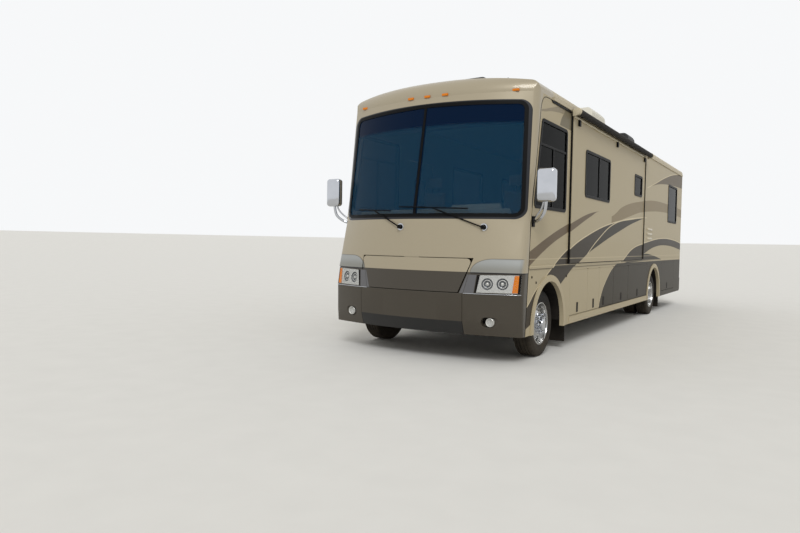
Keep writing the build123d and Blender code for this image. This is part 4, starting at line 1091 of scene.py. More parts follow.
    def copy(self, name: str, change: Matrix) -> "Work":
        """A second one with its own mesh.

        Args:
            name: The copy's name.
            change: Moves, turns or mirrors it.

        Returns:
            The work on the copy.
        """
        piece = self.piece.copy()
        piece.data = self.piece.data.copy()
        piece.name = piece.data.name = name
        bpy.context.scene.collection.objects.link(piece)
        piece.data.transform(change)
        if change.determinant() < 0:
            piece.data.flip_normals()
        return Work(piece)

    def mirrored(self) -> "Work":
        """The same on the other side of the vehicle, with right in its name for left."""
        return self.copy(self.piece.name.replace("left", "right"), MIRROR)

    def doubled(self) -> "Work":
        """One mesh of this and its mirror image."""
        return self.joined([self.copy(self.piece.name + "_mirrored", MIRROR)])

    def joined(self, others: Iterable["Work"]) -> "Work":
        """One mesh of this and others, under this one's name.

        Args:
            others: The others, which end here.

        Returns:
            The same work.
        """
        self.alone()
        for other in others:
            other.piece.select_set(True)
        bpy.ops.object.join()
        return self

    def smoothed(self, angle: float = 0.6) -> "Work":
        """Shades smoothly, apart from edges sharper than an angle."""
        self.alone()
        bpy.ops.object.shade_smooth_by_angle(angle=angle)
        return self

    def finished(self, finish: Finish, body: str | None = "root", slot: str | None = None,
                 replaces: Sequence[str] = ()) -> bpy.types.Object:
        """Dresses the piece and puts it on its body.

        Args:
            finish: Its finish.
            body: The body that it rides on, or None to leave it on no body.
            slot: Not used.
            replaces: CAD nodes that it stands for.

        Returns:
            The finished piece.
        """
        self.piece.data.materials.clear()
        self.piece.data.materials.append(finish.material())
        if body:
            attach(self.piece, body)
        if replaces:
            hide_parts(*replaces)
        LOG.info("%s: %d faces on %s", self.piece.name, len(self.piece.data.polygons), body)
        return self.piece

    def on_both_sides(self, finish: Finish, slot: str, replaces: Sequence[str] = (),
                      body: str = "root") -> list[bpy.types.Object]:
        """Dresses the piece and its mirror image.

        Args:
            finish: Their finish.
            slot: The record's material slot.
            replaces: CAD nodes that the piece stands for; a left one has a twin for the image.
            body: The piece's body; the image rides on its twin on the right.

        Returns:
            Both finished pieces.
        """
        twins = [node.replace("left", "right") for node in replaces if "left" in node]
        return [self.mirrored().finished(finish, body.replace("left", "right"), slot, twins),
                self.finished(finish, body, slot, replaces)]


def gathered(works: Sequence[Work]) -> Work:
    """One mesh of several works, under the first one's name."""
    return works[0].joined(works[1:])


def ring_copies(work: Work, count: int, centre: Point) -> Work:
    """The work repeated in a ring across the vehicle, as one mesh.

    Args:
        work: The first.
        count: How many there are with it.
        centre: The ring's middle.

    Returns:
        The work on all of them.
    """
    to_centre = Matrix.Translation(centre)
    turns = [to_centre @ Matrix.Rotation(math.tau * i / count, 4, Axis.X.value) @ to_centre.inverted()
             for i in range(1, count)]
    return work.joined([work.copy(f"{work.piece.name}_{i}", turn) for i, turn in enumerate(turns)])


def row_copies(work: Work, count: int, step: Point) -> Work:
    """The work repeated in a row, as one mesh."""
    return work.joined([work.copy(f"{work.piece.name}_{i}", Matrix.Translation(Vector(step) * i))
                        for i in range(1, count)])


BODY_OF = {node: body for body, nodes in frame["record"]["behaviour"]["bodies"].items() for node in nodes}


def dressed(node: str, finish: Finish) -> None:
    """Gives a CAD node its finish.

    Args:
        node: The node's name.
        finish: Its finish.
    """
    for place in frame["nodes"][node].material_slots:
        place.material = finish.material()
    LOG.info("%s: dressed with %s", node, finish.name)


def reworked(node: str, finish: Finish, angle: float = 0.6, bevel: float = 0.0) -> bpy.types.Object:
    """A smooth copy of a CAD node, with its edges rounded, in the node's place.

    Args:
        node: The node's name.
        finish: Its finish.
        angle: Edges sharper than this stay sharp.
        bevel: Width of the rounding of its sharp edges.

    Returns:
        The finished copy.
    """
    work = Work.copied(node + "_skin", node, angle)
    if bevel:
        work.flattened().bevelled(bevel, 2).smoothed(angle)
    return work.finished(finish, BODY_OF[node], replaces=[node])


# The wheels


@dataclass
class Wheels:
    """Tyres, chrome wheels with hand holes, hubs and nuts, on all four places."""

    tread_radius: float = 0.403
    half_width: float = 0.115
    bead_radius: float = 0.2485
    steps: int = 80
    grooves: Pairs = ((0.060, 0.001), (0.022, 0.0))
    groove_half: float = 0.0045
    groove_depth: float = 0.010
    shoulder: Pair = (0.381, 0.400)
    shoulder_start: float = 0.089
    notch: Pair = (0.003, -0.004)
    front_track: float = 1.090
    outer_track: float = 1.130
    inner_track: float = 0.873
    holes: int = 10
    hole_stretch: float = 1.45
    nut_circle: float = 0.112
    sheet: float = 0.006
    rim: Pairs = ((0.098, 0.2480), (0.098, 0.2585), (0.103, 0.2570), (0.103, 0.2440))

    def tyre(self, name: str, track: float, place: float) -> Work:
        """One tyre: sidewalls with rims, grooved tread and notched shoulders.

        Args:
            name: The piece's name.
            track: X of its middle.
            place: Y of its axle.

        Returns:
            The work on it.
        """
        r, half, bead = self.tread_radius, self.half_width, self.bead_radius
        wall = [(half - 0.027, bead), (half - 0.012, bead + 0.008), (half - 0.006, bead + 0.022),
                (half - 0.007, bead + 0.026), (half - 0.002, bead + 0.045), (half, bead + 0.074),
                (half - 0.002, bead + 0.098), (half - 0.003, bead + 0.100), (half - 0.006, bead + 0.118),
                (half - 0.012, r - 0.020), (half - 0.020, r - 0.007)]
        right = wall + [(half - 0.026, r - 0.002)]
        for groove, fall in self.grooves:
            low, high = groove - self.groove_half, groove + self.groove_half
            floor, crown = r - self.groove_depth, r - fall
            right += [(high, crown), (high - 0.002, floor), (low + 0.002, floor), (low, crown)]
        profile = right + [(-a, b) for a, b in reversed(right)]
        work = Work.turned(name, profile, (track, place, AXLE_LEVEL), Axis.X, self.steps)
        return work.inset(lambda face: self._notch(face, track, place), *self.notch, True).smoothed(0.55)

    def _notch(self, face: bpy.types.MeshPolygon, track: float, place: float) -> bool:
        """Whether a face is one of the shoulders' notches.

        Args:
            face: The face.
            track: X of the tyre's middle.
            place: Y of its axle.

        Returns:
            True for every other face of the shoulders.
        """
        x, y, z = face.center
        radius = math.hypot(y - place, z - AXLE_LEVEL)
        turn = round(math.atan2(y - place, z - AXLE_LEVEL) / math.tau * self.steps - 0.5)
        low, high = self.shoulder
        return low < radius < high and abs(x - track) > self.shoulder_start and turn % 2 == 0

    def disc(self, name: str, profile: Sequence[Pair], track: float, place: float, hole: Pair) -> Work:
        """A wheel from rim to hub, with its hand holes.

        Args:
            name: The piece's name.
            profile: Its outer face, as (distance outwards, radius).
            track: X of the wheel's middle.
            place: Y of its axle.
            hole: Radius of the circle of holes, and half the width of a hole.

        Returns:
            The work on it.
        """
        circle, half = hole
        centre, level = (track, place, AXLE_LEVEL), AXLE_LEVEL + circle
        work = Work.turned(name, profile, centre, Axis.X, 96).thickened(self.sheet)
        hand_hole = Work.bar("hand_hole", (track - 0.16, place, level), (track + 0.10, place, level), half, 24)
        hand_hole.edit_all("VERT")
        bpy.ops.transform.resize(value=(1, self.hole_stretch, 1), center_override=(track, place, level))
        hand_hole.done()
        return work.cut(ring_copies(hand_hole, self.holes, centre)).smoothed(0.5)

    def nuts(self, name: str, start: float, place: float, length: float) -> Work:
        """Ring of chrome nut covers.

        Args:
            name: The piece's name.
            start: X of the face they stand on.
            place: Y of the axle.
            length: How far they stand out.

        Returns:
            The work on them.
        """
        profile = ((0, 0.0), (0, 0.021), (0.004, 0.0215), (0.010, 0.0185), (length - 0.008, 0.0165),
                   (length - 0.002, 0.011), (length, 0.0))
        shift, circle = math.pi / self.holes, self.nut_circle
        spot = (start, place + circle * math.sin(shift), AXLE_LEVEL + circle * math.cos(shift))
        nut = Work.turned(name, profile, spot, Axis.X, 6)
        return ring_copies(nut, self.holes, (start, place, AXLE_LEVEL)).smoothed(0.5)

    def axle(self, word: str, track: float, place: float, hole: Pair, nuts: Pair,
             profiles: tuple[Sequence[Pair], Sequence[Pair], Sequence[Pair]]) -> list[tuple[Work, Finish]]:
        """The left wheel of an axle: its face, hub, nut covers and drum.

        Args:
            word: The axle's word in the pieces' names.
            track: X of the wheel's middle.
            place: Y of the axle.
            hole: Radius of the circle of hand holes, and half the width of one.
            nuts: Where the nut covers stand from the middle, and how far out they reach.
            profiles: Those of the face, the hub and the drum.

        Returns:
            The works with their finishes.
        """
        face, hub, drum = profiles
        centre = (track, place, AXLE_LEVEL)
        return [
            (self.disc(f"{word}_wheel_face_left", face, track, place, hole), WHEEL_METAL),
            (Work.turned(f"{word}_hub_left", hub, centre).smoothed(0.5), CHROME),
            (self.nuts(f"{word}_nuts_left", track + nuts[0], place, nuts[1]), CHROME),
            (Work.turned(f"{word}_drum_left", drum, centre).smoothed(0.5), BLACK_RUBBER),
        ]

    def front(self) -> list[tuple[Work, Finish]]:
        """The left front wheel's parts with their finishes."""
        face = (*self.rim, (0.090, 0.2390), (0.040, 0.2320), (0.016, 0.2250), (0.010, 0.2180), (0.016, 0.2080),
                (0.052, 0.1720), (0.070, 0.1540), (0.078, 0.1420), (0.078, 0.0900))
        hub = ((0.072, 0.100), (0.084, 0.098), (0.088, 0.090), (0.090, 0.0800), (0.130, 0.0760),
               (0.138, 0.0740), (0.138, 0.0640), (0.147, 0.0600), (0.151, 0.0460), (0.151, 0.0), (0.072, 0.0),
               (0.072, 0.100))
        drum = ((-0.100, 0.0), (-0.100, 0.205), (-0.020, 0.205), (-0.012, 0.195), (-0.004, 0.120), (-0.004, 0.0))
        return self.axle("front", self.front_track, FRONT_AXLE, (0.194, 0.021), (0.078, 0.052), (face, hub, drum))

    def rear(self) -> list[tuple[Work, Finish]]:
        """The left rear wheels' parts with their finishes."""
        face = (*self.rim, (0.085, 0.2385), (-0.030, 0.2320), (-0.060, 0.2260), (-0.075, 0.2160), (-0.085, 0.2000),
                (-0.104, 0.1720), (-0.114, 0.1540), (-0.116, 0.1420), (-0.116, 0.1000))
        back = (*((-a, r) for a, r in self.rim), (-0.085, 0.2385), (0.060, 0.2320), (0.085, 0.2000),
                (0.114, 0.1540), (0.114, 0.1000))
        hub = ((-0.122, 0.112), (-0.108, 0.110), (-0.104, 0.1000), (-0.100, 0.0950), (0.040, 0.0900),
               (0.048, 0.0880), (0.048, 0.0760), (0.057, 0.0700), (0.061, 0.0500), (0.061, 0.0), (-0.122, 0.0),
               (-0.122, 0.112))
        drum = ((-0.260, 0.0), (-0.260, 0.205), (-0.150, 0.205), (-0.140, 0.190), (-0.136, 0.0))
        inner = Work.turned("rear_inner_wheel_left", back, (self.inner_track, REAR_AXLE, AXLE_LEVEL), Axis.X, 72)
        inner.thickened(self.sheet).smoothed(0.5)
        outer = self.axle("rear", self.outer_track, REAR_AXLE, (0.190, 0.020), (-0.116, 0.044), (face, hub, drum))
        return [*outer, (inner, WHEEL_INNER)]

    def build(self) -> None:
        """Makes the left wheels and their mirror images."""
        for axle, rims, parts in (("front_wheel_left", "front_rim_left", self.front()),
                                  ("rear_wheels_left", "rear_rims_left", self.rear())):
            for index, (work, finish) in enumerate(parts):
                work.on_both_sides(finish, "rim", () if index else [rims], axle)
        front = self.tyre("front_tyre_rubber_left", self.front_track, FRONT_AXLE)
        rear = gathered([self.tyre("rear_tyre_rubber_left", self.outer_track, REAR_AXLE),
                         self.tyre("rear_inner_rubber_left", self.inner_track, REAR_AXLE)])
        front.on_both_sides(TYRE_RUBBER, "tyre", ["front_tyre_left"], "front_wheel_left")
        rear.on_both_sides(TYRE_RUBBER, "tyre", ["rear_tyres_left"], "rear_wheels_left")


# The front, the sides, the roof and the tail


FRONT_ROWS = (
    (0.330, -1.035, -0.835, 0.060), (0.480, -1.105, -0.850, 0.070), (0.795, -1.120, -0.860, 0.080),
    (1.200, -1.090, -0.790, 0.090), (1.660, -1.058, -0.665, 0.100), (2.994, -0.822, -0.516, 0.110),
    (3.100, -0.790, -0.505, 0.112), (3.400, -0.766, -0.489, 0.115),
)


def front_y(x: float, height: float) -> float:
    """Y of the moulded front's face.

    Args:
        x: Place across the vehicle.
        height: Height above the ground.

    Returns:
        The face's Y there, in metres.
    """
    low, high = next(pair for pair in zip(FRONT_ROWS, FRONT_ROWS[1:]) if height <= pair[1][0])
    share = (height - low[0]) / (high[0] - low[0])
    front, side, corner = (a + share * (b - a) for a, b in zip(low[1:], high[1:]))
    radius = (SIDE ** 2 + (side - front) ** 2) / (2 * (side - front))
    middle, inner = SIDE - corner, radius - corner
    x = min(abs(x), SIDE - 0.001)
    if x <= middle * radius / inner:
        return station(front + radius - math.sqrt(radius ** 2 - x ** 2))
    back = front + radius - math.sqrt(inner ** 2 - middle ** 2)
    return station(back - math.sqrt(corner ** 2 - (x - middle) ** 2))


def front_facing(x: float, height: float, inwards: float = 0.0) -> Matrix:
    """Place and turn of a form made round the Y axis at the origin, set square on the moulded front.

    Args:
        x: Place across the vehicle.
        height: Height above the ground.
        inwards: How far behind the face it sits.

    Returns:
        The matrix that puts it there.
    """
    across = (front_y(x + 0.01, height) - front_y(x - 0.01, height)) / 0.02
    upwards = (front_y(x, height + 0.01) - front_y(x, height - 0.01)) / 0.02
    inner = -Vector((across, -1.0, upwards)).normalized()
    spot = Vector((x, front_y(x, height), height)) + inner * inwards
    return Matrix.Translation(spot) @ inner.to_track_quat("Y", "Z").to_matrix().to_4x4()


def oval(low: Pair, high: Pair, radius: float, steps: int = 5) -> list[Pair]:
    """Outline of a rectangle with round corners.

    Args:
        low: Its lowest corner.
        high: Its highest corner.
        radius: Radius of the corners.
        steps: Runs in a corner.

    Returns:
        The outline's points.
    """
    centres = ((high[0] - radius, high[1] - radius), (low[0] + radius, high[1] - radius),
               (low[0] + radius, low[1] + radius), (high[0] - radius, low[1] + radius))
    return [(a + radius * math.cos(math.tau / 4 * (corner + i / steps)),
             b + radius * math.sin(math.tau / 4 * (corner + i / steps)))
            for corner, (a, b) in enumerate(centres) for i in range(steps + 1)]


def front_panel(name: str, corners: Sequence[Pair], cuts: tuple[int, int], proud: float,
                thickness: float = 0.003) -> Work:
    """A patch that lies on the moulded front.

    Args:
        name: The piece's name.
        corners: X and height of its corners: lower inner, lower outer, upper outer, upper inner.
        cuts: Divisions across and up.
        proud: How far its face stands out of the front.
        thickness: Its thickness, inwards.

    Returns:
        The work on it.
    """
    def place(u: float, v: float) -> Point:
        """Place on the front of a point of the patch."""
        x, z = ((a * (1 - u) + b * u) * (1 - v) + (d * (1 - u) + c * u) * v for a, b, c, d in zip(*corners))
        return (x, front_y(x, z) - proud, z)

    return Work.sheet(name, cuts, place).thickened(thickness).smoothed()


@dataclass
class Lamps:
    """Headlamps, fog lamps, marker lamps and the pieces round them, among them dark strips at the lamps' ends
    which are painted shade.
    """

    bowls: Pairs = ((0.925, 0.912), (1.085, 0.916))
    bowl_radius: float = 0.076
    bowl_sink: float = 0.0045
    unit: Pairs = ((0.792, 0.815), (1.270, 0.818), (1.270, 1.017), (0.814, 1.007))
    unit_depth: float = 0.034
    unit_sink: float = 0.003
    lens: Pairs = ((0.795, 0.818), (1.267, 0.821), (1.267, 1.014), (0.817, 1.004))
    amber: Pairs = ((1.190, 0.8215), (1.248, 0.8225), (1.248, 1.0125), (1.203, 1.0105))
    amber_proud: float = 0.0012
    amber_cells: Pair = (0.0022, -0.0012)
    pane: float = 0.002
    # Dark strips at both ends of the lamp: painted shade at the shadowed edges of its pocket.
    trims: tuple[Pairs, ...] = (
        ((0.791, 0.814), (0.812, 0.814), (0.843, 1.009), (0.812, 1.008)),
        ((1.249, 0.817), (1.271, 0.817), (1.271, 1.018), (1.249, 1.018)),
    )
    bezels: tuple[Pairs, ...] = (
        ((0.624, 0.803), (0.664, 0.8035), (0.712, 1.012), (0.700, 1.013)),
        ((0.669, 0.8035), (0.783, 0.806), (0.804, 1.010), (0.717, 1.012)),
    )
    lip: tuple[float, ...] = (0.665, 0.80, 0.94, 1.08, 1.19, 1.25, 1.28)
    lip_level: float = 0.8005
    lip_proud: float = 0.003
    lip_radius: float = 0.004
    rims: tuple[tuple[float, float, float], ...] = ((-0.001, 0.0765, 0.011), (0.008, 0.048, 0.008))
    fog: Pair = (0.960, 0.484)
    fog_radius: float = 0.049
    fog_depth: float = 0.008

    def backing(self) -> Work:
        """The silver unit behind the lens, bored for its reflectors."""
        work = front_panel("lamp_unit_left", self.unit, (28, 4), -self.unit_sink, self.unit_depth)
        bores = [Work.bar("bore", (0, -0.06, 0), (0, 0.08, 0), self.bowl_radius - 0.001, 40)
                 .placed(front_facing(*spot)) for spot in self.bowls]
        return work.cut(*bores).smoothed(0.5)

    def round_part(self, name: str, profile: Sequence[Pair], spot: Pair, steps: int = 40) -> Work:
        """A turned form set into the lamp at a place on the front."""
        return Work.turned(name, profile, (0, 0, 0), Axis.Y, steps).placed(front_facing(*spot, self.bowl_sink))

    def bowl(self, name: str, spot: Pair) -> Work:
        """A stepped round reflector.

        Args:
            name: The piece's name.
            spot: X and height of its middle.

        Returns:
            The work on it.
        """
        r = self.bowl_radius
        profile = [(-0.0005, r), (-0.0015, r - 0.003), (0.003, r - 0.006), (0.004, r - 0.010), (0.012, r - 0.014),
                   (0.019, r * 0.62), (0.0185, r * 0.58), (0.026, r * 0.34), (0.028, 0.0), (0.030, 0.0),
                   (0.028, r * 0.36), (0.022, r * 0.66), (0.014, r - 0.011), (0.006, r), (-0.0005, r)]
        return self.round_part(name, profile, spot).smoothed(0.5)

    def rings(self, name: str, spot: Pair) -> Work:
        """The bright rims on a reflector's steps.

        Args:
            name: The piece's name.
            spot: X and height of their middle.

        Returns:
            The work on them.
        """
        works = []
        for index, (face, radius, width) in enumerate(self.rims):
            inner, back = radius - width, face + 0.006
            profile = [(back, radius), (face, radius), (face - 0.001, radius - width / 2), (face, inner),
                       (back, inner), (back, radius)]
            works.append(self.round_part(f"{name}_{index}", profile, spot))
        return gathered(works).smoothed(0.9)

    def bulb(self, name: str, spot: Pair) -> Work:
        """The cap in the middle of a reflector."""
        profile = [(0.028, 0.0), (0.028, 0.021), (0.006, 0.020), (0.002, 0.015), (0.001, 0.0)]
        return self.round_part(name, profile, spot, 24).smoothed(0.9)

    def fog_lamp(self) -> list[Work]:
        """The chrome cup of the fog lamp, and its glass."""
        (x, z), r = self.fog, self.fog_radius
        spot = (x, front_y(x, z) + self.fog_depth, z)
        cup = [(0.024, 0.0), (0.024, r), (-0.004, r), (-0.007, r - 0.004), (-0.002, r - 0.010),
               (0.008, r - 0.013), (0.014, 0.014), (0.015, 0.0)]
        glass = [(0.004, 0.0), (0.004, r - 0.011), (-0.003, r - 0.015), (-0.006, 0.012), (-0.0065, 0.0)]
        return [Work.turned(f"fog_{word}_left", profile, spot, Axis.Y, 40).smoothed()
                for word, profile in (("cup", cup), ("glass", glass))]

    def left(self) -> list[tuple[Work, Finish, str, Sequence[str]]]:
        """The left side's pieces with their finishes, slots and replaced nodes."""
        edge = [(x, front_y(x, 0.8) - self.lip_proud, self.lip_level) for x in self.lip]
        cup, glass = self.fog_lamp()
        parts = [(make(f"lamp_{word}_{i}_left", spot), finish, slot, ())
                 for word, make, finish, slot in (("bowl", self.bowl, LAMP_DARK, "lamp_glass"),
                                                  ("rings", self.rings, LAMP_SILVER, "chrome"),
                                                  ("bulb", self.bulb, LAMP_SILVER, "lamp_glass"))
                 for i, spot in enumerate(self.bowls, 1)]
        # Grey bezels, and the dark end strips, which are painted shade at the edges of the lamp's pocket.
        parts += [(front_panel(f"lamp_{word}_{i}_left", corners, (5, 4), proud), finish, slot, ())
                  for word, shapes, proud, finish, slot in (
                      ("bezel", self.bezels, 0.0015, BEZEL_GREY, "dark_panel"),
                      ("trim", self.trims, 0.0025, BLACK_TRIM, "black_plastic"))
                  for i, corners in enumerate(shapes, 1)]
        amber = front_panel("lamp_amber_left", self.amber, (4, 6), self.amber_proud, self.pane)
        amber.inset(facing(Axis.Y, 0.3, -1), *self.amber_cells, True).smoothed(0.3)
        return parts + [
            (self.backing(), LAMP_SILVER, "lamp_glass", ["headlamps"]),
            (front_panel("lamp_lens_left", self.lens, (28, 4), 0.0, self.pane), LAMP_GLASS, "lamp_glass", ()),
            (amber, AMBER, "amber", ()),
            (Work.swept("lamp_lip_left", edge, self.lip_radius), CHROME, "chrome", ()),
            (cup, LAMP_SILVER, "chrome", ()), (glass, LAMP_GLASS, "lamp_glass", ()),
        ]

    def build(self) -> None:
        """Makes both sides' lamps."""
        for work, *rest in self.left():
            work.on_both_sides(*rest)
        markers = Work.copied("marker_lenses", "marker_lamps", 0.5).flattened()
        markers.bevelled(0.006, 3, 0.8).smoothed(0.9).finished(AMBER, replaces=["marker_lamps"])


@dataclass
class Mirrors:
    """Chrome mirror heads on bent arms."""

    low: Point = (1.372, station(-0.758), 1.830)
    high: Point = (1.590, station(-0.642), 2.200)
    place: float = station(-0.600)
    main: tuple[Point, ...] = (
        (SIDE + 0.010, 0.0, 1.612), (SIDE + 0.060, -0.012, 1.622), (1.425, -0.065, 1.672), (1.474, -0.092, 1.740),
        (1.480, -0.098, 1.860))
    stay: tuple[Point, ...] = (
        (SIDE + 0.010, 0.006, 1.655), (1.350, -0.020, 1.690), (1.436, -0.074, 1.780), (1.452, -0.090, 1.870))
    base: Spans = ((SIDE, SIDE + 0.014), (-0.036, 0.036), (1.560, 1.680))
    border: float = 0.052
    lower_pane: float = 0.075
    pane_gap: float = 0.007

    def arm(self) -> Work:
        """Two bent tubes from the base to the head."""
        return gathered([Work.swept(name, [(x, self.place + back, z) for x, back, z in route], radius)
                         for name, route, radius in (("mirror_arm_left", self.main, 0.018),
                                                     ("mirror_stay_left", self.stay, 0.011))])

    def panes(self) -> list[Work]:
        """The large and the small pane, behind the head."""
        x0, x1, back = self.low[0] + self.border, self.high[0] - self.border, self.high[1]
        z0, z1 = self.low[2] + self.border, self.high[2] - self.border
        split = z0 + self.lower_pane
        corners = (((x0, back - 0.004, low), (x1, back + 0.001, high))
                   for low, high in ((z0, split), (split + self.pane_gap, z1)))
        return [Work.block(f"mirror_pane_{i}_left", *ends).bevelled(0.002) for i, ends in enumerate(corners, 1)]

    def build(self) -> None:
        """Makes both mirrors."""
        head = Work.block("mirror_head_left", self.low, self.high).bevelled(0.044, 6)
        head.inset(facing(Axis.Y, 0.95), 0.008, -0.004).smoothed(0.7)
        base = Work.box("mirror_base_left", self.base, self.place)
        base.inset(facing(Axis.X), 0.008, 0.003).bevelled(0.003, 3).smoothed()
        head.on_both_sides(CHROME, "chrome", ["mirrors"])
        self.arm().on_both_sides(CHROME, "chrome")
        base.on_both_sides(BLACK_TRIM, "black_plastic")
        for pane in self.panes():
            pane.on_both_sides(MIRROR_GLASS, "chrome")


@dataclass
class Wipers:
    """Wiper arms with thick roots, and chrome rings round their pivots."""

    pivots: tuple[float, ...] = (-0.180, 0.840)
    blades: Pairs = ((-0.625, 1.752), (0.235, 1.768))
    level: float = 1.545
    stand: float = 0.034
    root: float = 0.58
    root_radius: float = 0.014
    ring: Pairs = (
        (0.008, 0.046), (0.000, 0.046), (-0.006, 0.042), (-0.008, 0.034), (-0.004, 0.024), (0.008, 0.024),
        (0.008, 0.046))

    def sleeve(self, name: str, pivot: float, blade: Pair) -> Work:
        """The thick root of an arm.

        Args:
            name: The piece's name.
            pivot: X of the arm's pivot.
            blade: X and height of the blade's middle.

        Returns:
            The work on it.
        """
        ends = [(x, front_y(x, z) - self.stand, z) for x, z in ((pivot, self.level), blade)]
        middle = tuple(a * (1 - self.root) + b * self.root for a, b in zip(*ends))
        return Work.swept(name, (ends[0], middle), self.root_radius, False)

    def build(self) -> None:
        """Dresses the arms and adds the rings and the roots."""
        reworked("wipers", BLACK_TRIM, 0.7)
        spots = [(x, front_y(x, self.level) - 0.001, self.level) for x in self.pivots]
        rings = [Work.turned(f"wiper_ring_{i}", self.ring, spot, Axis.Y, 32) for i, spot in enumerate(spots)]
        gathered(rings).smoothed(0.7).finished(CHROME, slot="chrome")
        sleeves = [self.sleeve(f"wiper_sleeve_{i}", *ends) for i, ends in enumerate(zip(self.pivots, self.blades))]
        gathered(sleeves).smoothed(0.7).finished(BLACK_TRIM, slot="black_plastic")


@dataclass
class Sides:
    """Seams, latches, vents, locks, dark rails under the roof's gutter that also stand for its painted shadow, the
    slide-out room's sill and the wheel houses.
    """

    seam: Pairs = (
        (-0.752, 0.335), (-0.727, 0.676), (-0.683, 1.228), (-0.649, 1.700), (-0.541, 2.252), (-0.452, 2.799),
        (-0.426, 2.960), (-0.377, 3.035), (-0.311, 3.070), (-0.216, 3.082), (0.640, 3.083))
    seam_radius: float = 0.0045
    # Dark plate under the gutter: a rail as tall as the shadow beneath the gutter, so it is partly painted shadow.
    drip: Pairs = ((-0.06, 3.050), (0.64, 3.050), (0.64, 3.076), (-0.10, 3.076))
    drip_proud: float = 0.011
    sill: Spans = ((SIDE - 0.001, SIDE + 0.020), (0.66, 4.965), (1.1205, 1.1305))
    locks: Pairs = ((-0.587, 0.991), (-0.451, 0.924), (0.627, 0.965))
    lock: Pairs = ((-0.002, 0.0), (-0.002, 0.015), (0.003, 0.015), (0.005, 0.011), (0.003, 0.008), (0.003, 0.0))
    latches: tuple[tuple[int, float], ...] = (
        (1, 1.110), (2, 1.874), (3, 2.420), (4, 3.500), (5, 4.700), (6, 7.600))
    right_latches: tuple[tuple[int, float], ...] = ((1, 1.95), (1, 3.20), (2, 3.90), (2, 5.15), (3, 7.60))
    latch_half: float = 0.034
    latch_levels: Pair = (0.462, 0.594)
    houses: tuple[tuple[float, float, float], ...] = ((0.0, 0.524, 0.70), (WHEELBASE, 0.554, 0.62))
    house_steps: int = 28
    house_sheet: float = 0.004
    house_edge: float = SIDE - 0.045
    house_foot: float = 0.60
    vents: Pairs = ((5.38, 1.520), (5.38, 1.610), (5.38, 1.700))
    vent_size: Pair = (0.44, 0.034)

    def latch(self, name: str, side: Side, distance: float) -> Work:
        """A recessed bay latch.

        Args:
            name: The piece's name.
            side: Which side it is on.
            distance: How far behind the front axle.

        Returns:
            The work on it.
        """
        y, outer, step = station(distance), SIDE * side.value, 0.004 * side.value
        half, (low, high) = self.latch_half, self.latch_levels
        plate = Work.block(name, (outer - step, y - half, low), (outer + step, y + half, high))
        return plate.inset(facing(Axis.X, 0.9, side.value), 0.007, -0.0025).bevelled(0.0012).smoothed()

    def house(self, name: str, distance: float, radius: float, inner: float) -> Work:
        """A wheel house inside the left arch: the curved lining and the wall behind it.

        Args:
            name: The piece's name.
            distance: How far behind the front axle its middle is.
            radius: The lining's radius.
            inner: X of the wall.

        Returns:
            The work on it.
        """
        turns = [math.pi * i / self.house_steps for i in range(self.house_steps + 1)]
        spots = [(station(distance) - radius * math.cos(turn), AXLE_LEVEL + radius * math.sin(turn))
                 for turn in turns]
        work = Work.chain(name, [(inner, y, z) for y, z in spots]).edit_all("EDGE")
        bpy.ops.mesh.extrude_region_move(TRANSFORM_OT_translate={"value": (self.house_edge - inner, 0, 0)})
        work.tidied().thickened(self.house_sheet, 0.0)
        wall = [(inner, y, z) for y, z in spots if z > self.house_foot]
        return work.joined([Work.plate(name + "_wall", wall, (-self.house_sheet, 0, 0))]).smoothed()

    def vent(self, name: str, distance: float, level: float) -> Work:
        """A small louvre on the left wall.

        Args:
            name: The piece's name.
            distance: How far behind the front axle it starts.
            level: Height of its lower edge.

        Returns:
            The work on it.
        """
        low = (SIDE - 0.002, station(distance), level)
        length, rise = self.vent_size
        louvre = Work.block(name, low, (SIDE + 0.008, low[1] + length, level + rise)).choose(facing(Axis.X))
        bpy.ops.transform.translate(value=(0.004, 0, -0.010))
        return louvre.done().bevelled(0.003)

    def build(self) -> None:
        """Makes the fittings of both sides."""
        seam = Work.swept("cap_seam_left", [(SIDE - 0.001, station(d), z) for d, z in self.seam], self.seam_radius)
        seam.on_both_sides(BLACK_TRIM, "black_frame")
        for side, rows in ((Side.LEFT, self.latches), (Side.RIGHT, self.right_latches)):
            for index, (bay, distance) in enumerate(rows, 1):
                self.latch(f"bay_latch_{side.word}_{index}", side, distance).finished(
                    BLACK_TRIM, f"bay_door_{side.word}_{bay}", "black_plastic")
        for index, sizes in enumerate(self.houses, 1):
            self.house(f"wheel_house_{index}_left", *sizes).on_both_sides(BLACK_RUBBER, "black_plastic")
        vents = gathered([self.vent(f"side_vent_{i}", *spot) for i, spot in enumerate(self.vents)])
        vents.smoothed().finished(CREAM_TRIM, slot="cream_plastic")
        locks = gathered([Work.turned(f"side_locks_{i}", self.lock, (SIDE, station(d), z), Axis.X, 20)
                          for i, (d, z) in enumerate(self.locks)])
        locks.doubled().smoothed().finished(BLACK_TRIM, slot="black_plastic")
        # The dark plate under each gutter, partly painted shadow.
        outline = [(SIDE - 0.001, station(d), z) for d, z in self.drip]
        drip = Work.plate("drip_rails", outline, (self.drip_proud, 0, 0))
        drip.bevelled(0.004, 3).doubled().smoothed().finished(BLACK_TRIM, slot="black_frame")
        sill = Work.box("slide_sill", self.sill).bevelled(0.003, 3).smoothed()
        sill.finished(BLACK_RUBBER, slot="black_frame")


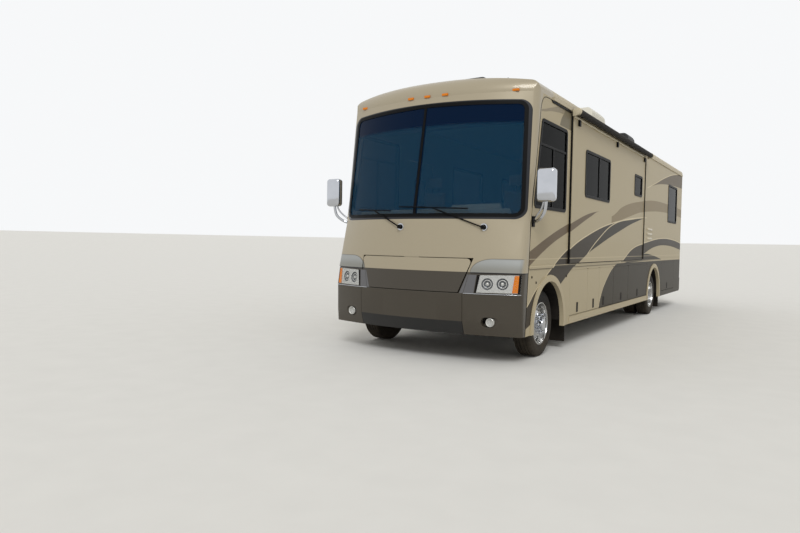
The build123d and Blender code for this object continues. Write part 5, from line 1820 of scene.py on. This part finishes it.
@dataclass
class Door:
    """Handle, window trim and grab rail of the entry door."""

    window: tuple[Pair, Pair] = ((0.960, 1.650), (1.360, 2.350))
    corner: float = 0.05
    handle: Spans = ((-SIDE - 0.004, -SIDE + 0.002), (1.405, 1.495), (1.330, 1.480))
    paddle: Spans = ((-SIDE - 0.016, -SIDE - 0.003), (1.418, 1.482), (1.385, 1.465))
    rail: Pairs = ((0.002, 1.20), (-0.055, 1.20), (-0.058, 1.26), (-0.058, 1.95), (-0.055, 2.01), (0.002, 2.01))
    rail_place: float = station(1.575)
    rail_radius: float = 0.012

    def ring_plate(self, name: str, grow: float, x: float, depth: float) -> Work:
        """A plate with the window's outline.

        Args:
            name: The piece's name.
            grow: How far it reaches past the window.
            x: Where it starts.
            depth: Its thickness, inwards.

        Returns:
            The work on it.
        """
        low, high = self.window
        outline = oval([c - grow for c in low], [c + grow for c in high], self.corner)
        return Work.plate(name, [(x, station(a), b) for a, b in outline], (depth, 0, 0))

    def build(self) -> None:
        """Makes the door's fittings."""
        trim = self.ring_plate("door_window_trim", 0.016, -SIDE - 0.007, 0.011)
        trim.cut(self.ring_plate("door_window_hole", -0.014, -SIDE - 0.020, 0.040))
        trim.bevelled(0.002).smoothed().finished(BLACK_TRIM, "entry_door", "black_frame")
        handle = [Work.box("door_handle", self.handle).bevelled(0.002),
                  Work.box("door_paddle", self.paddle).bevelled(0.005, 3)]
        gathered(handle).smoothed().finished(BLACK_TRIM, "entry_door", "black_plastic")
        route = [(-SIDE + out, self.rail_place, z) for out, z in self.rail]
        Work.swept("door_grab_rail", route, self.rail_radius).finished(CHROME, slot="chrome")


@dataclass
class SlideRoom:
    """Rolled cover of the slide-out room, its strip, brackets and rail."""

    x: float = SIDE + 0.092
    level: float = 3.070
    start: float = 0.660
    end: float = 5.070
    radius: float = 0.042
    turns: int = 4
    turn: float = 0.006
    edge: float = 0.0015
    runs: int = 12
    ripple: float = 0.0006
    gutter: Pair = (SIDE + 0.012, 3.1135)
    margin: float = 0.03
    sag: float = 0.003
    cap: Pairs = ((0.0, 0.0), (0.0, 0.034), (0.006, 0.045), (0.018, 0.047), (0.022, 0.044), (0.022, 0.0))
    bracket: Pairs = (
        (SIDE + 0.026, -0.058), (SIDE + 0.060, -0.058), (SIDE + 0.122, -0.030), (SIDE + 0.128, 0.020),
        (SIDE + 0.050, 0.032), (SIDE + 0.026, 0.028))
    bracket_depth: float = 0.022
    lip: Spans = ((SIDE + 0.024, SIDE + 0.042), (4.938, 4.951), (1.142, 3.000))
    rail: Spans = ((SIDE + 0.026, SIDE + 0.042), (0.67, 4.94), (3.004, 3.032))
    support: Spans = ((SIDE + 0.026, SIDE + 0.048), (0.86, 0.93), (2.925, 3.005))
    support_step: float = 1.97

    def roll(self) -> Work:
        """The wound cloth, with the edges of its turns at both ends."""
        length, wound = self.end - self.start, self.radius
        profile = [(0.0, 0.0)]
        for i in range(self.turns):
            out = wound - self.turn * (self.turns - 1 - i)
            profile += [(self.edge * i, out - 0.004), (self.edge * i, out)]
        back = [(length - a, b) for a, b in reversed(profile)]
        middle = [(length * i / self.runs, wound - self.ripple * (i % 3)) for i in range(1, self.runs)]
        start = (self.x, station(self.start), self.level)
        return Work.turned("topper_roll", profile + middle + back, start, Axis.Y, 40)

    def strip(self) -> None:
        """The cloth between the gutter and the roll, left on no body."""
        inner, foot = self.gutter
        y0, y1 = station(self.start + self.margin), station(self.end - self.margin)
        top = self.level + self.radius + 0.0005

        def place(u: float, v: float) -> Point:
            """Place of a point of the cloth."""
            sag = self.sag * math.sin(math.pi * u)
            return (inner + (self.x - inner) * u, y0 + (y1 - y0) * v, foot + (top - foot) * u - sag)

        piece = Work.sheet("topper_strip", (8, 40), place).smoothed(1.2).finished(AWNING, None, "awning_fabric")
        y1 - y0
        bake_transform(piece)

    def caps(self) -> Work:
        """Round caps and brackets at both ends."""
        y0, y1 = station(self.start), station(self.end)
        works = [Work.turned(f"topper_caps_{i}", self.cap, (self.x, y, self.level), Axis.Y, 32)
                 for i, y in enumerate((y0 - 0.0225, y1 + 0.0005))]
        for index, y in enumerate((y0 - 0.036, y1 + 0.014)):
            outline = [(x, y, self.level + rise) for x, rise in self.bracket]
            bracket = Work.plate(f"topper_bracket_{index}", outline, (0, self.bracket_depth, 0))
            works.append(bracket.bevelled(0.004, 3))
        return gathered(works)

    def build(self) -> None:
        """Makes the cover with its fittings and dresses the room."""
        self.roll().smoothed(0.7).finished(AWNING, "slideout", "awning_fabric", ["slideout_topper"])
        self.strip()
        self.caps().smoothed().finished(CREAM_TRIM, "slideout", "cream_plastic")
        lip = Work.box("slide_lip", self.lip).bevelled(0.004, 3).smoothed()
        lip.finished(BLACK_RUBBER, "slideout", "black_frame")
        rail = Work.box("topper_rail", self.rail).bevelled(0.005, 3).smoothed()
        rail.finished(CREAM_TRIM, "slideout", "cream_plastic")
        support = Work.box("topper_supports", self.support).inset(facing(Axis.X), 0.012, 0.004).bevelled(0.004)
        row_copies(support, 3, (0, self.support_step, 0)).finished(BLACK_TRIM, "slideout", "black_plastic")


@dataclass
class RoofGear:
    """Air conditioners, dark covers, vents and the aerial."""

    dark: Pairs = ((5.30, 6.10), (0.05, 0.70))
    foot_place: Point = (0.60, station(0.25), 3.285)
    foot: Pairs = ((0.0, 0.0), (0.0, 0.024), (0.010, 0.022), (0.030, 0.008), (0.034, 0.0))
    stem: tuple[Point, ...] = (
        (0.60, station(0.25), 3.29), (0.60, station(0.24), 3.38), (0.60, station(0.21), 3.50))
    stem_radius: float = 0.004
    hatch: Spans = ((-0.30, 0.06), (1.75, 2.11), (3.30, 3.372))
    hatch_step: float = 4.70

    def build(self) -> None:
        """Makes the roof's fittings."""
        inside = [(station(a), station(b)) for a, b in self.dark]
        for name, finish, slot, keep in (("roof_shrouds", WHITE_PLASTIC, "white_plastic", False),
                                         ("roof_covers", DARK_PLASTIC, "black_plastic", True)):
            work = Work.copied(name, "roof_units", 0.5)
            work.choose(lambda face: any(a < face.center.y < b for a, b in inside) is not keep)
            bpy.ops.mesh.delete(type="FACE")
            work.done().flattened().bevelled(0.035, 4, 0.35).smoothed(0.7)
            work.finished(finish, slot=slot, replaces=["roof_units"] if not keep else ())
        aerial = [Work.swept("aerial", self.stem, self.stem_radius),
                  Work.turned("aerial_foot", self.foot, self.foot_place, Axis.Z, 24)]
        gathered(aerial).smoothed(0.7).finished(BLACK_TRIM, slot="black_plastic")
        hatch = Work.box("roof_hatches", self.hatch).inset(facing(Axis.Z), 0.03, 0.012).bevelled(0.012, 3, 0.3)
        row_copies(hatch, 2, (0, self.hatch_step, 0)).smoothed().finished(WHITE_PLASTIC, slot="white_plastic")


@dataclass
class Tail:
    """Lamps, number plate and trims of the rear wall, with their spans behind that wall."""

    lens: tuple[Pair, Pair] = ((1.010, 1.130), (-0.001, 0.020))
    lenses: tuple[tuple[str, Pair, Finish, str, Sequence[str]], ...] = (
        ("red", (0.900, 1.080), RED, "red", ("tail_lamps",)),
        ("amber", (1.086, 1.200), AMBER, "amber", ()),
        ("clear", (1.206, 1.330), REFLECTOR, "lamp_glass", ()),
    )
    plate: Spans = ((-0.16, 0.16), (-0.001, 0.006), (0.94, 1.09))
    markers: tuple[tuple[str, Spans, int, float], ...] = (
        ("rear_markers", ((-1.05, -0.975), (-0.002, 0.014), (3.085, 3.110)), 2, 2.025),
        ("rear_markers_mid", ((-0.275, -0.200), (-0.002, 0.014), (3.105, 3.130)), 3, 0.2375),
    )
    panel: tuple[Pair, Pair] = ((-0.55, 0.55), (-0.002, 0.006))
    panel_levels: Pairs = ((0.62, 0.80), (1.45, 1.95))

    def build(self) -> None:
        """Makes the rear wall's fittings."""
        backwards = facing(Axis.Y)
        for word, levels, finish, slot, nodes in self.lenses:
            lens = Work.box(f"tail_lens_{word}", (*self.lens, levels), REAR_WALL).inset(backwards, 0.010, 0.002)
            lens.bevelled(0.004, 3).doubled().smoothed().finished(finish, slot=slot, replaces=nodes)
        plate = Work.box("number_plate", self.plate, REAR_WALL).inset(backwards, 0.008, -0.002).bevelled(0.001)
        plate.finished(WHITE_PLASTIC, slot="white_plastic")
        rows = [row_copies(Work.box(name, spans, REAR_WALL).bevelled(0.006, 3), count, (step, 0, 0))
                for name, spans, count, step in self.markers]
        gathered(rows).smoothed(0.9).finished(RED, slot="red")
        for index, levels in enumerate(self.panel_levels, 1):
            panel = Work.box(f"rear_panel_{index}", (*self.panel, levels), REAR_WALL)
            panel.inset(backwards, 0.02, -0.003).bevelled(0.0015).smoothed()
            panel.finished(SIDE_PAINT, slot="body_panel")


@dataclass
class Cabin:
    """Padded cab seats on their pedestals, the dashboard's fittings and the wheel."""

    pads: tuple[tuple[str, Spans, float, float], ...] = (
        ("seat_cushion_left", ((0.405, 0.835), (0.045, 0.500), (1.458, 1.575)), 0.024, 0.75),
        ("seat_back_left", ((0.410, 0.830), (0.480, 0.585), (1.585, 2.120)), 0.024, 0.7),
        ("head_rest_left", ((0.500, 0.740), (0.490, 0.575), (2.135, 2.305)), 0.016, 0.8),
    )
    shrink: float = 0.75
    voxel: float = 0.010
    pressure: float = 4.0
    frames: int = 20
    pedestal: Spans = ((0.50, 0.74), (0.15, 0.42), (1.130, 1.455))
    posts: tuple[float, ...] = (0.57, 0.67)
    post_place: float = station(0.533)
    post_levels: Pair = (2.09, 2.17)
    post_radius: float = 0.007
    arm_rest: Spans = ((0.375, 0.405), (0.10, 0.46), (1.660, 1.715))
    arm_rest_step: float = 0.460
    cowl: Spans = ((0.36, 0.88), (-0.86, -0.655), (1.585, 1.690))
    cowl_taper: Point = (0.82, 0.55, 1)
    dash_pads: tuple[tuple[str, Pairs, float, float], ...] = (
        ("dash_pad", ((-1.08, 1.565), (1.10, 1.565), (1.06, 1.770), (-1.03, 1.755)), -0.10, 0.16),
        ("dash_pad_cowl", ((0.26, 1.565), (1.02, 1.565), (0.94, 1.828), (0.40, 1.806)), -0.14, 0.16),
    )

    def pad(self, name: str, spans: Spans, crown: float) -> Work:
        """A padded form blown up from a smaller block by a cloth simulation.

        Args:
            name: The piece's name.
            spans: Where the pad is.
            crown: How far any point may move.

        Returns:
            The work on it.
        """
        shrink = crown * self.shrink
        across, behind, up = spans
        low, high = ((across[i], station(behind[i]), up[i]) for i in (0, 1))
        work = Work.block(name, [a + shrink for a in low], [b - shrink for b in high]).bevelled(0.016, 3)
        work.modified("REMESH", mode="VOXEL", voxel_size=self.voxel)
        self.swollen(work, crown)
        return work.subdivided(1).smoothed(3.0)

    def swollen(self, work: Work, crown: float) -> None:
        """Runs the pressure and keeps each point near its start.

        Args:
            work: The closed form.
            crown: How far any point may move.
        """
        start = [vertex.co.copy() for vertex in work.alone().piece.data.vertices]
        bpy.ops.object.modifier_add(type="CLOTH")
        cloth = work.piece.modifiers[-1]
        cloth.settings.use_pressure = True
        cloth.settings.uniform_pressure_force = self.pressure
        cloth.settings.effector_weights.gravity = 0.0
        scene = bpy.context.scene
        for step in range(1, self.frames + 1):
            scene.frame_set(step)
        bpy.ops.object.modifier_apply(modifier=cloth.name)
        scene.frame_set(1)
        for vertex, before in zip(work.piece.data.vertices, start):
            move = vertex.co - before
            if move.length > crown:
                vertex.co = before + move * (crown / move.length)

    def seats(self) -> None:
        """Makes the seats' pads, pedestals and arm rests."""
        for name, spans, crown, fill in self.pads:
            nodes = ["cab_seats"] if name.startswith("seat_cushion") else ()
            for piece in self.pad(name, spans, crown).on_both_sides(LEATHER, "seat_leather", nodes):
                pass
        pedestal = Work.box("seat_pedestals", self.pedestal)
        pedestal.inset(lambda face: abs(face.normal.z) < 0.4, 0.02, -0.008, True).bevelled(0.006)
        y, (low, high) = self.post_place, self.post_levels
        posts = [Work.bar(f"head_post_{i}", (x, y, low), (x, y, high), self.post_radius)
                 for i, x in enumerate(self.posts)]
        gathered([pedestal, *posts]).doubled().smoothed().finished(DARK_PLASTIC, slot="black_plastic")
        rests = row_copies(Work.box("arm_rests", self.arm_rest).bevelled(0.012, 4), 2, (self.arm_rest_step, 0, 0))
        rests.doubled().smoothed(0.8).finished(CREAM_DASH, slot="cream_plastic")

    def dashboard(self) -> None:
        """Makes the dashboard's shell, cowl and pads."""
        dash = Work.copied("dash_shell", "dashboard", 0.5).flattened().bevelled(0.012, 3, 0.6).smoothed()
        dash.finished(CREAM_DASH, replaces=["dashboard"])
        cowl = Work.box("dash_cowl", self.cowl).choose(facing(Axis.Z))
        bpy.ops.transform.resize(value=self.cowl_taper)
        cowl.done().bevelled(0.03, 5, 0.3).inset(facing(Axis.Y, 0.8), 0.012, -0.012)
        cowl.smoothed().finished(DARK_PLASTIC, slot="black_plastic")
        # The dash-top pads wear the paler cream: painted light.
        for name, corners, proud, thickness in self.dash_pads:
            pad = front_panel(name, corners, (44, 4), proud, thickness).bevelled(0.02, 3, 0.9).smoothed()
            pad.finished(DASH_TOP_LIT, slot="cream_plastic")

    def build(self) -> None:
        """Makes the seats and the dashboard's fittings."""
        self.seats()
        self.dashboard()
        reworked("steering_wheel", BLACK_TRIM, 0.8)


# Floor, lights and camera


@dataclass
class Stage:
    """Floor, lights and the camera at the photograph's place."""

    eye: Point = (3.893, -11.481, 1.3435)
    yaw: float = -0.57493
    pitch: float = -0.03626
    roll: float = 0.01786
    lens: float = 28.235
    sensor: float = 36.0
    far: float = 300.0
    floor_profile: Pairs = ((0.0, 0.0), (20.0, 0.0), (45.0, 0.0), (55.0, 0.3), (70.0, 2.0))
    floor_colours: tuple[Colour, Colour] = ((0.86, 0.86, 0.85), (0.89, 0.89, 0.88))
    floor_grain: Pair = (3.0, 6.0)
    sun_turn: Point = (math.radians(48), 0, math.radians(28))
    sun_energy: float = 1.3
    sun_angle: float = 0.35
    daylight: Colour = (0.83, 0.82, 0.80)
    background: tuple[float, ...] = (0.93, 0.94, 0.95, 1)

    def camera(self) -> None:
        """Places the camera at the photograph's viewing angle."""
        ahead = Vector((math.sin(self.yaw) * math.cos(self.pitch), math.cos(self.yaw) * math.cos(self.pitch),
                        math.sin(self.pitch)))
        right = Vector((math.cos(self.yaw), -math.sin(self.yaw), 0))
        up = right.cross(ahead)
        across = right * math.cos(self.roll) + up * math.sin(self.roll)
        above = up * math.cos(self.roll) - right * math.sin(self.roll)
        deselect()
        bpy.ops.object.camera_add()
        camera = bpy.context.view_layer.objects.active
        turn = Matrix((across, above, -ahead)).transposed().to_4x4()
        camera.matrix_world = Matrix.Translation(self.eye) @ turn
        camera.data.lens, camera.data.sensor_width, camera.data.clip_end = self.lens, self.sensor, self.far
        bpy.context.scene.camera = camera

    def floor(self) -> None:
        """Large pale floor that rises a little at its rim."""
        work = Work.chain("floor", [(0.0, -r, h) for r, h in self.floor_profile]).edit_all("VERT")
        bpy.ops.mesh.spin(steps=64, angle=math.tau, center=(0, 0, 0), axis=(0, 0, 1))
        work.tidied().smoothed(1.0)
        recipe = Recipe.new("pale_floor")
        colour = recipe.mix(recipe.noise(*self.floor_grain), *map(linear, self.floor_colours))
        recipe.set(Base_Color=colour, Roughness=0.85)
        work.piece.data.materials.append(recipe.material)

    def lights(self) -> None:
        """Soft daylight from all round, which the camera and reflections see paler, and a soft sun."""
        deselect()
        bpy.ops.object.light_add(type="SUN", rotation=self.sun_turn)
        sun = bpy.context.view_layer.objects.active
        sun.data.energy, sun.data.angle = self.sun_energy, self.sun_angle
        world = bpy.data.worlds.new("studio")
        bpy.context.scene.world = world
        world.use_nodes = True
        sky = Recipe(world, world.node_tree, world.node_tree.nodes["Background"])
        path = sky.node("ShaderNodeLightPath").outputs
        kinds = ("Camera", "Glossy", "Transmission")
        camera, glossy, through = (sky.level(path[f"Is {kind} Ray"]) for kind in kinds)
        sky.set(Color=sky.mix(camera | glossy | through, linear(self.daylight), self.background), Strength=1.0)

    def build(self) -> None:
        """Makes the whole stage."""
        bpy.context.scene.view_settings.view_transform = "Standard"
        self.camera()
        self.floor()
        self.lights()


PLAIN_NODES = {
    CHASSIS_BLACK: ("chassis_frame", "knuckle_left", "knuckle_right"),
    IRON: ("engine_block",),
    BOX_PLASTIC: ("fuel_tank", "storage_bays", "entry_steps"),
    DECK: ("floor_deck",),
    BLACK_RUBBER: ("mud_flaps",),
    BLACK_TRIM: ("slideout_frames",),
    SIDE_GLASS: ("window_glass", "slideout_glass", "entry_door_glass"),
    WOOD: ("cabinets",),
    SIDE_PAINT: ("skirts", "left_wall", "right_wall", "slideout_shell", "entry_door",
                 *(f"bay_door_left_{i}" for i in range(1, 7)), *(f"bay_door_right_{i}" for i in range(1, 4))),
}
SMOOTH_NODES = (
    ("front_cap", FRONT_PAINT, 0.35), ("front_bumper", FRONT_PAINT, 0.35), ("hood", FRONT_PAINT, 0.35),
    ("rear_cap", SIDE_PAINT, 0.35), ("roof", ROOF_SKIN, 0.35), ("windscreen", SCREEN_GLASS, 0.35),
    ("window_frames", BLACK_TRIM, 0.35), ("rear_ladder", ALUMINIUM, 0.6),
    ("patio_awning", CREAM_TRIM, 0.6),
    ("front_axle", CHASSIS_BLACK, 0.5), ("rear_axle", CHASSIS_BLACK, 0.5), ("exhaust", PIPE, 0.6),
)


def main() -> None:
    """Builds and dresses the whole vehicle."""
    logging.basicConfig(level=logging.INFO, format="%(name)s %(message)s")
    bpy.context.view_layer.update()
    for finish, nodes in PLAIN_NODES.items():
        for node in nodes:
            dressed(node, finish)
    for node, finish, angle in SMOOTH_NODES:
        reworked(node, finish, angle)
    for assembly in (Wheels(), Lamps(), Mirrors(), Wipers(), Sides(), Door(), SlideRoom(), RoofGear(), Tail(),
                     Cabin(), Stage()):
        assembly.build()
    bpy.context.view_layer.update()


if __name__ == "__main__":
    main()
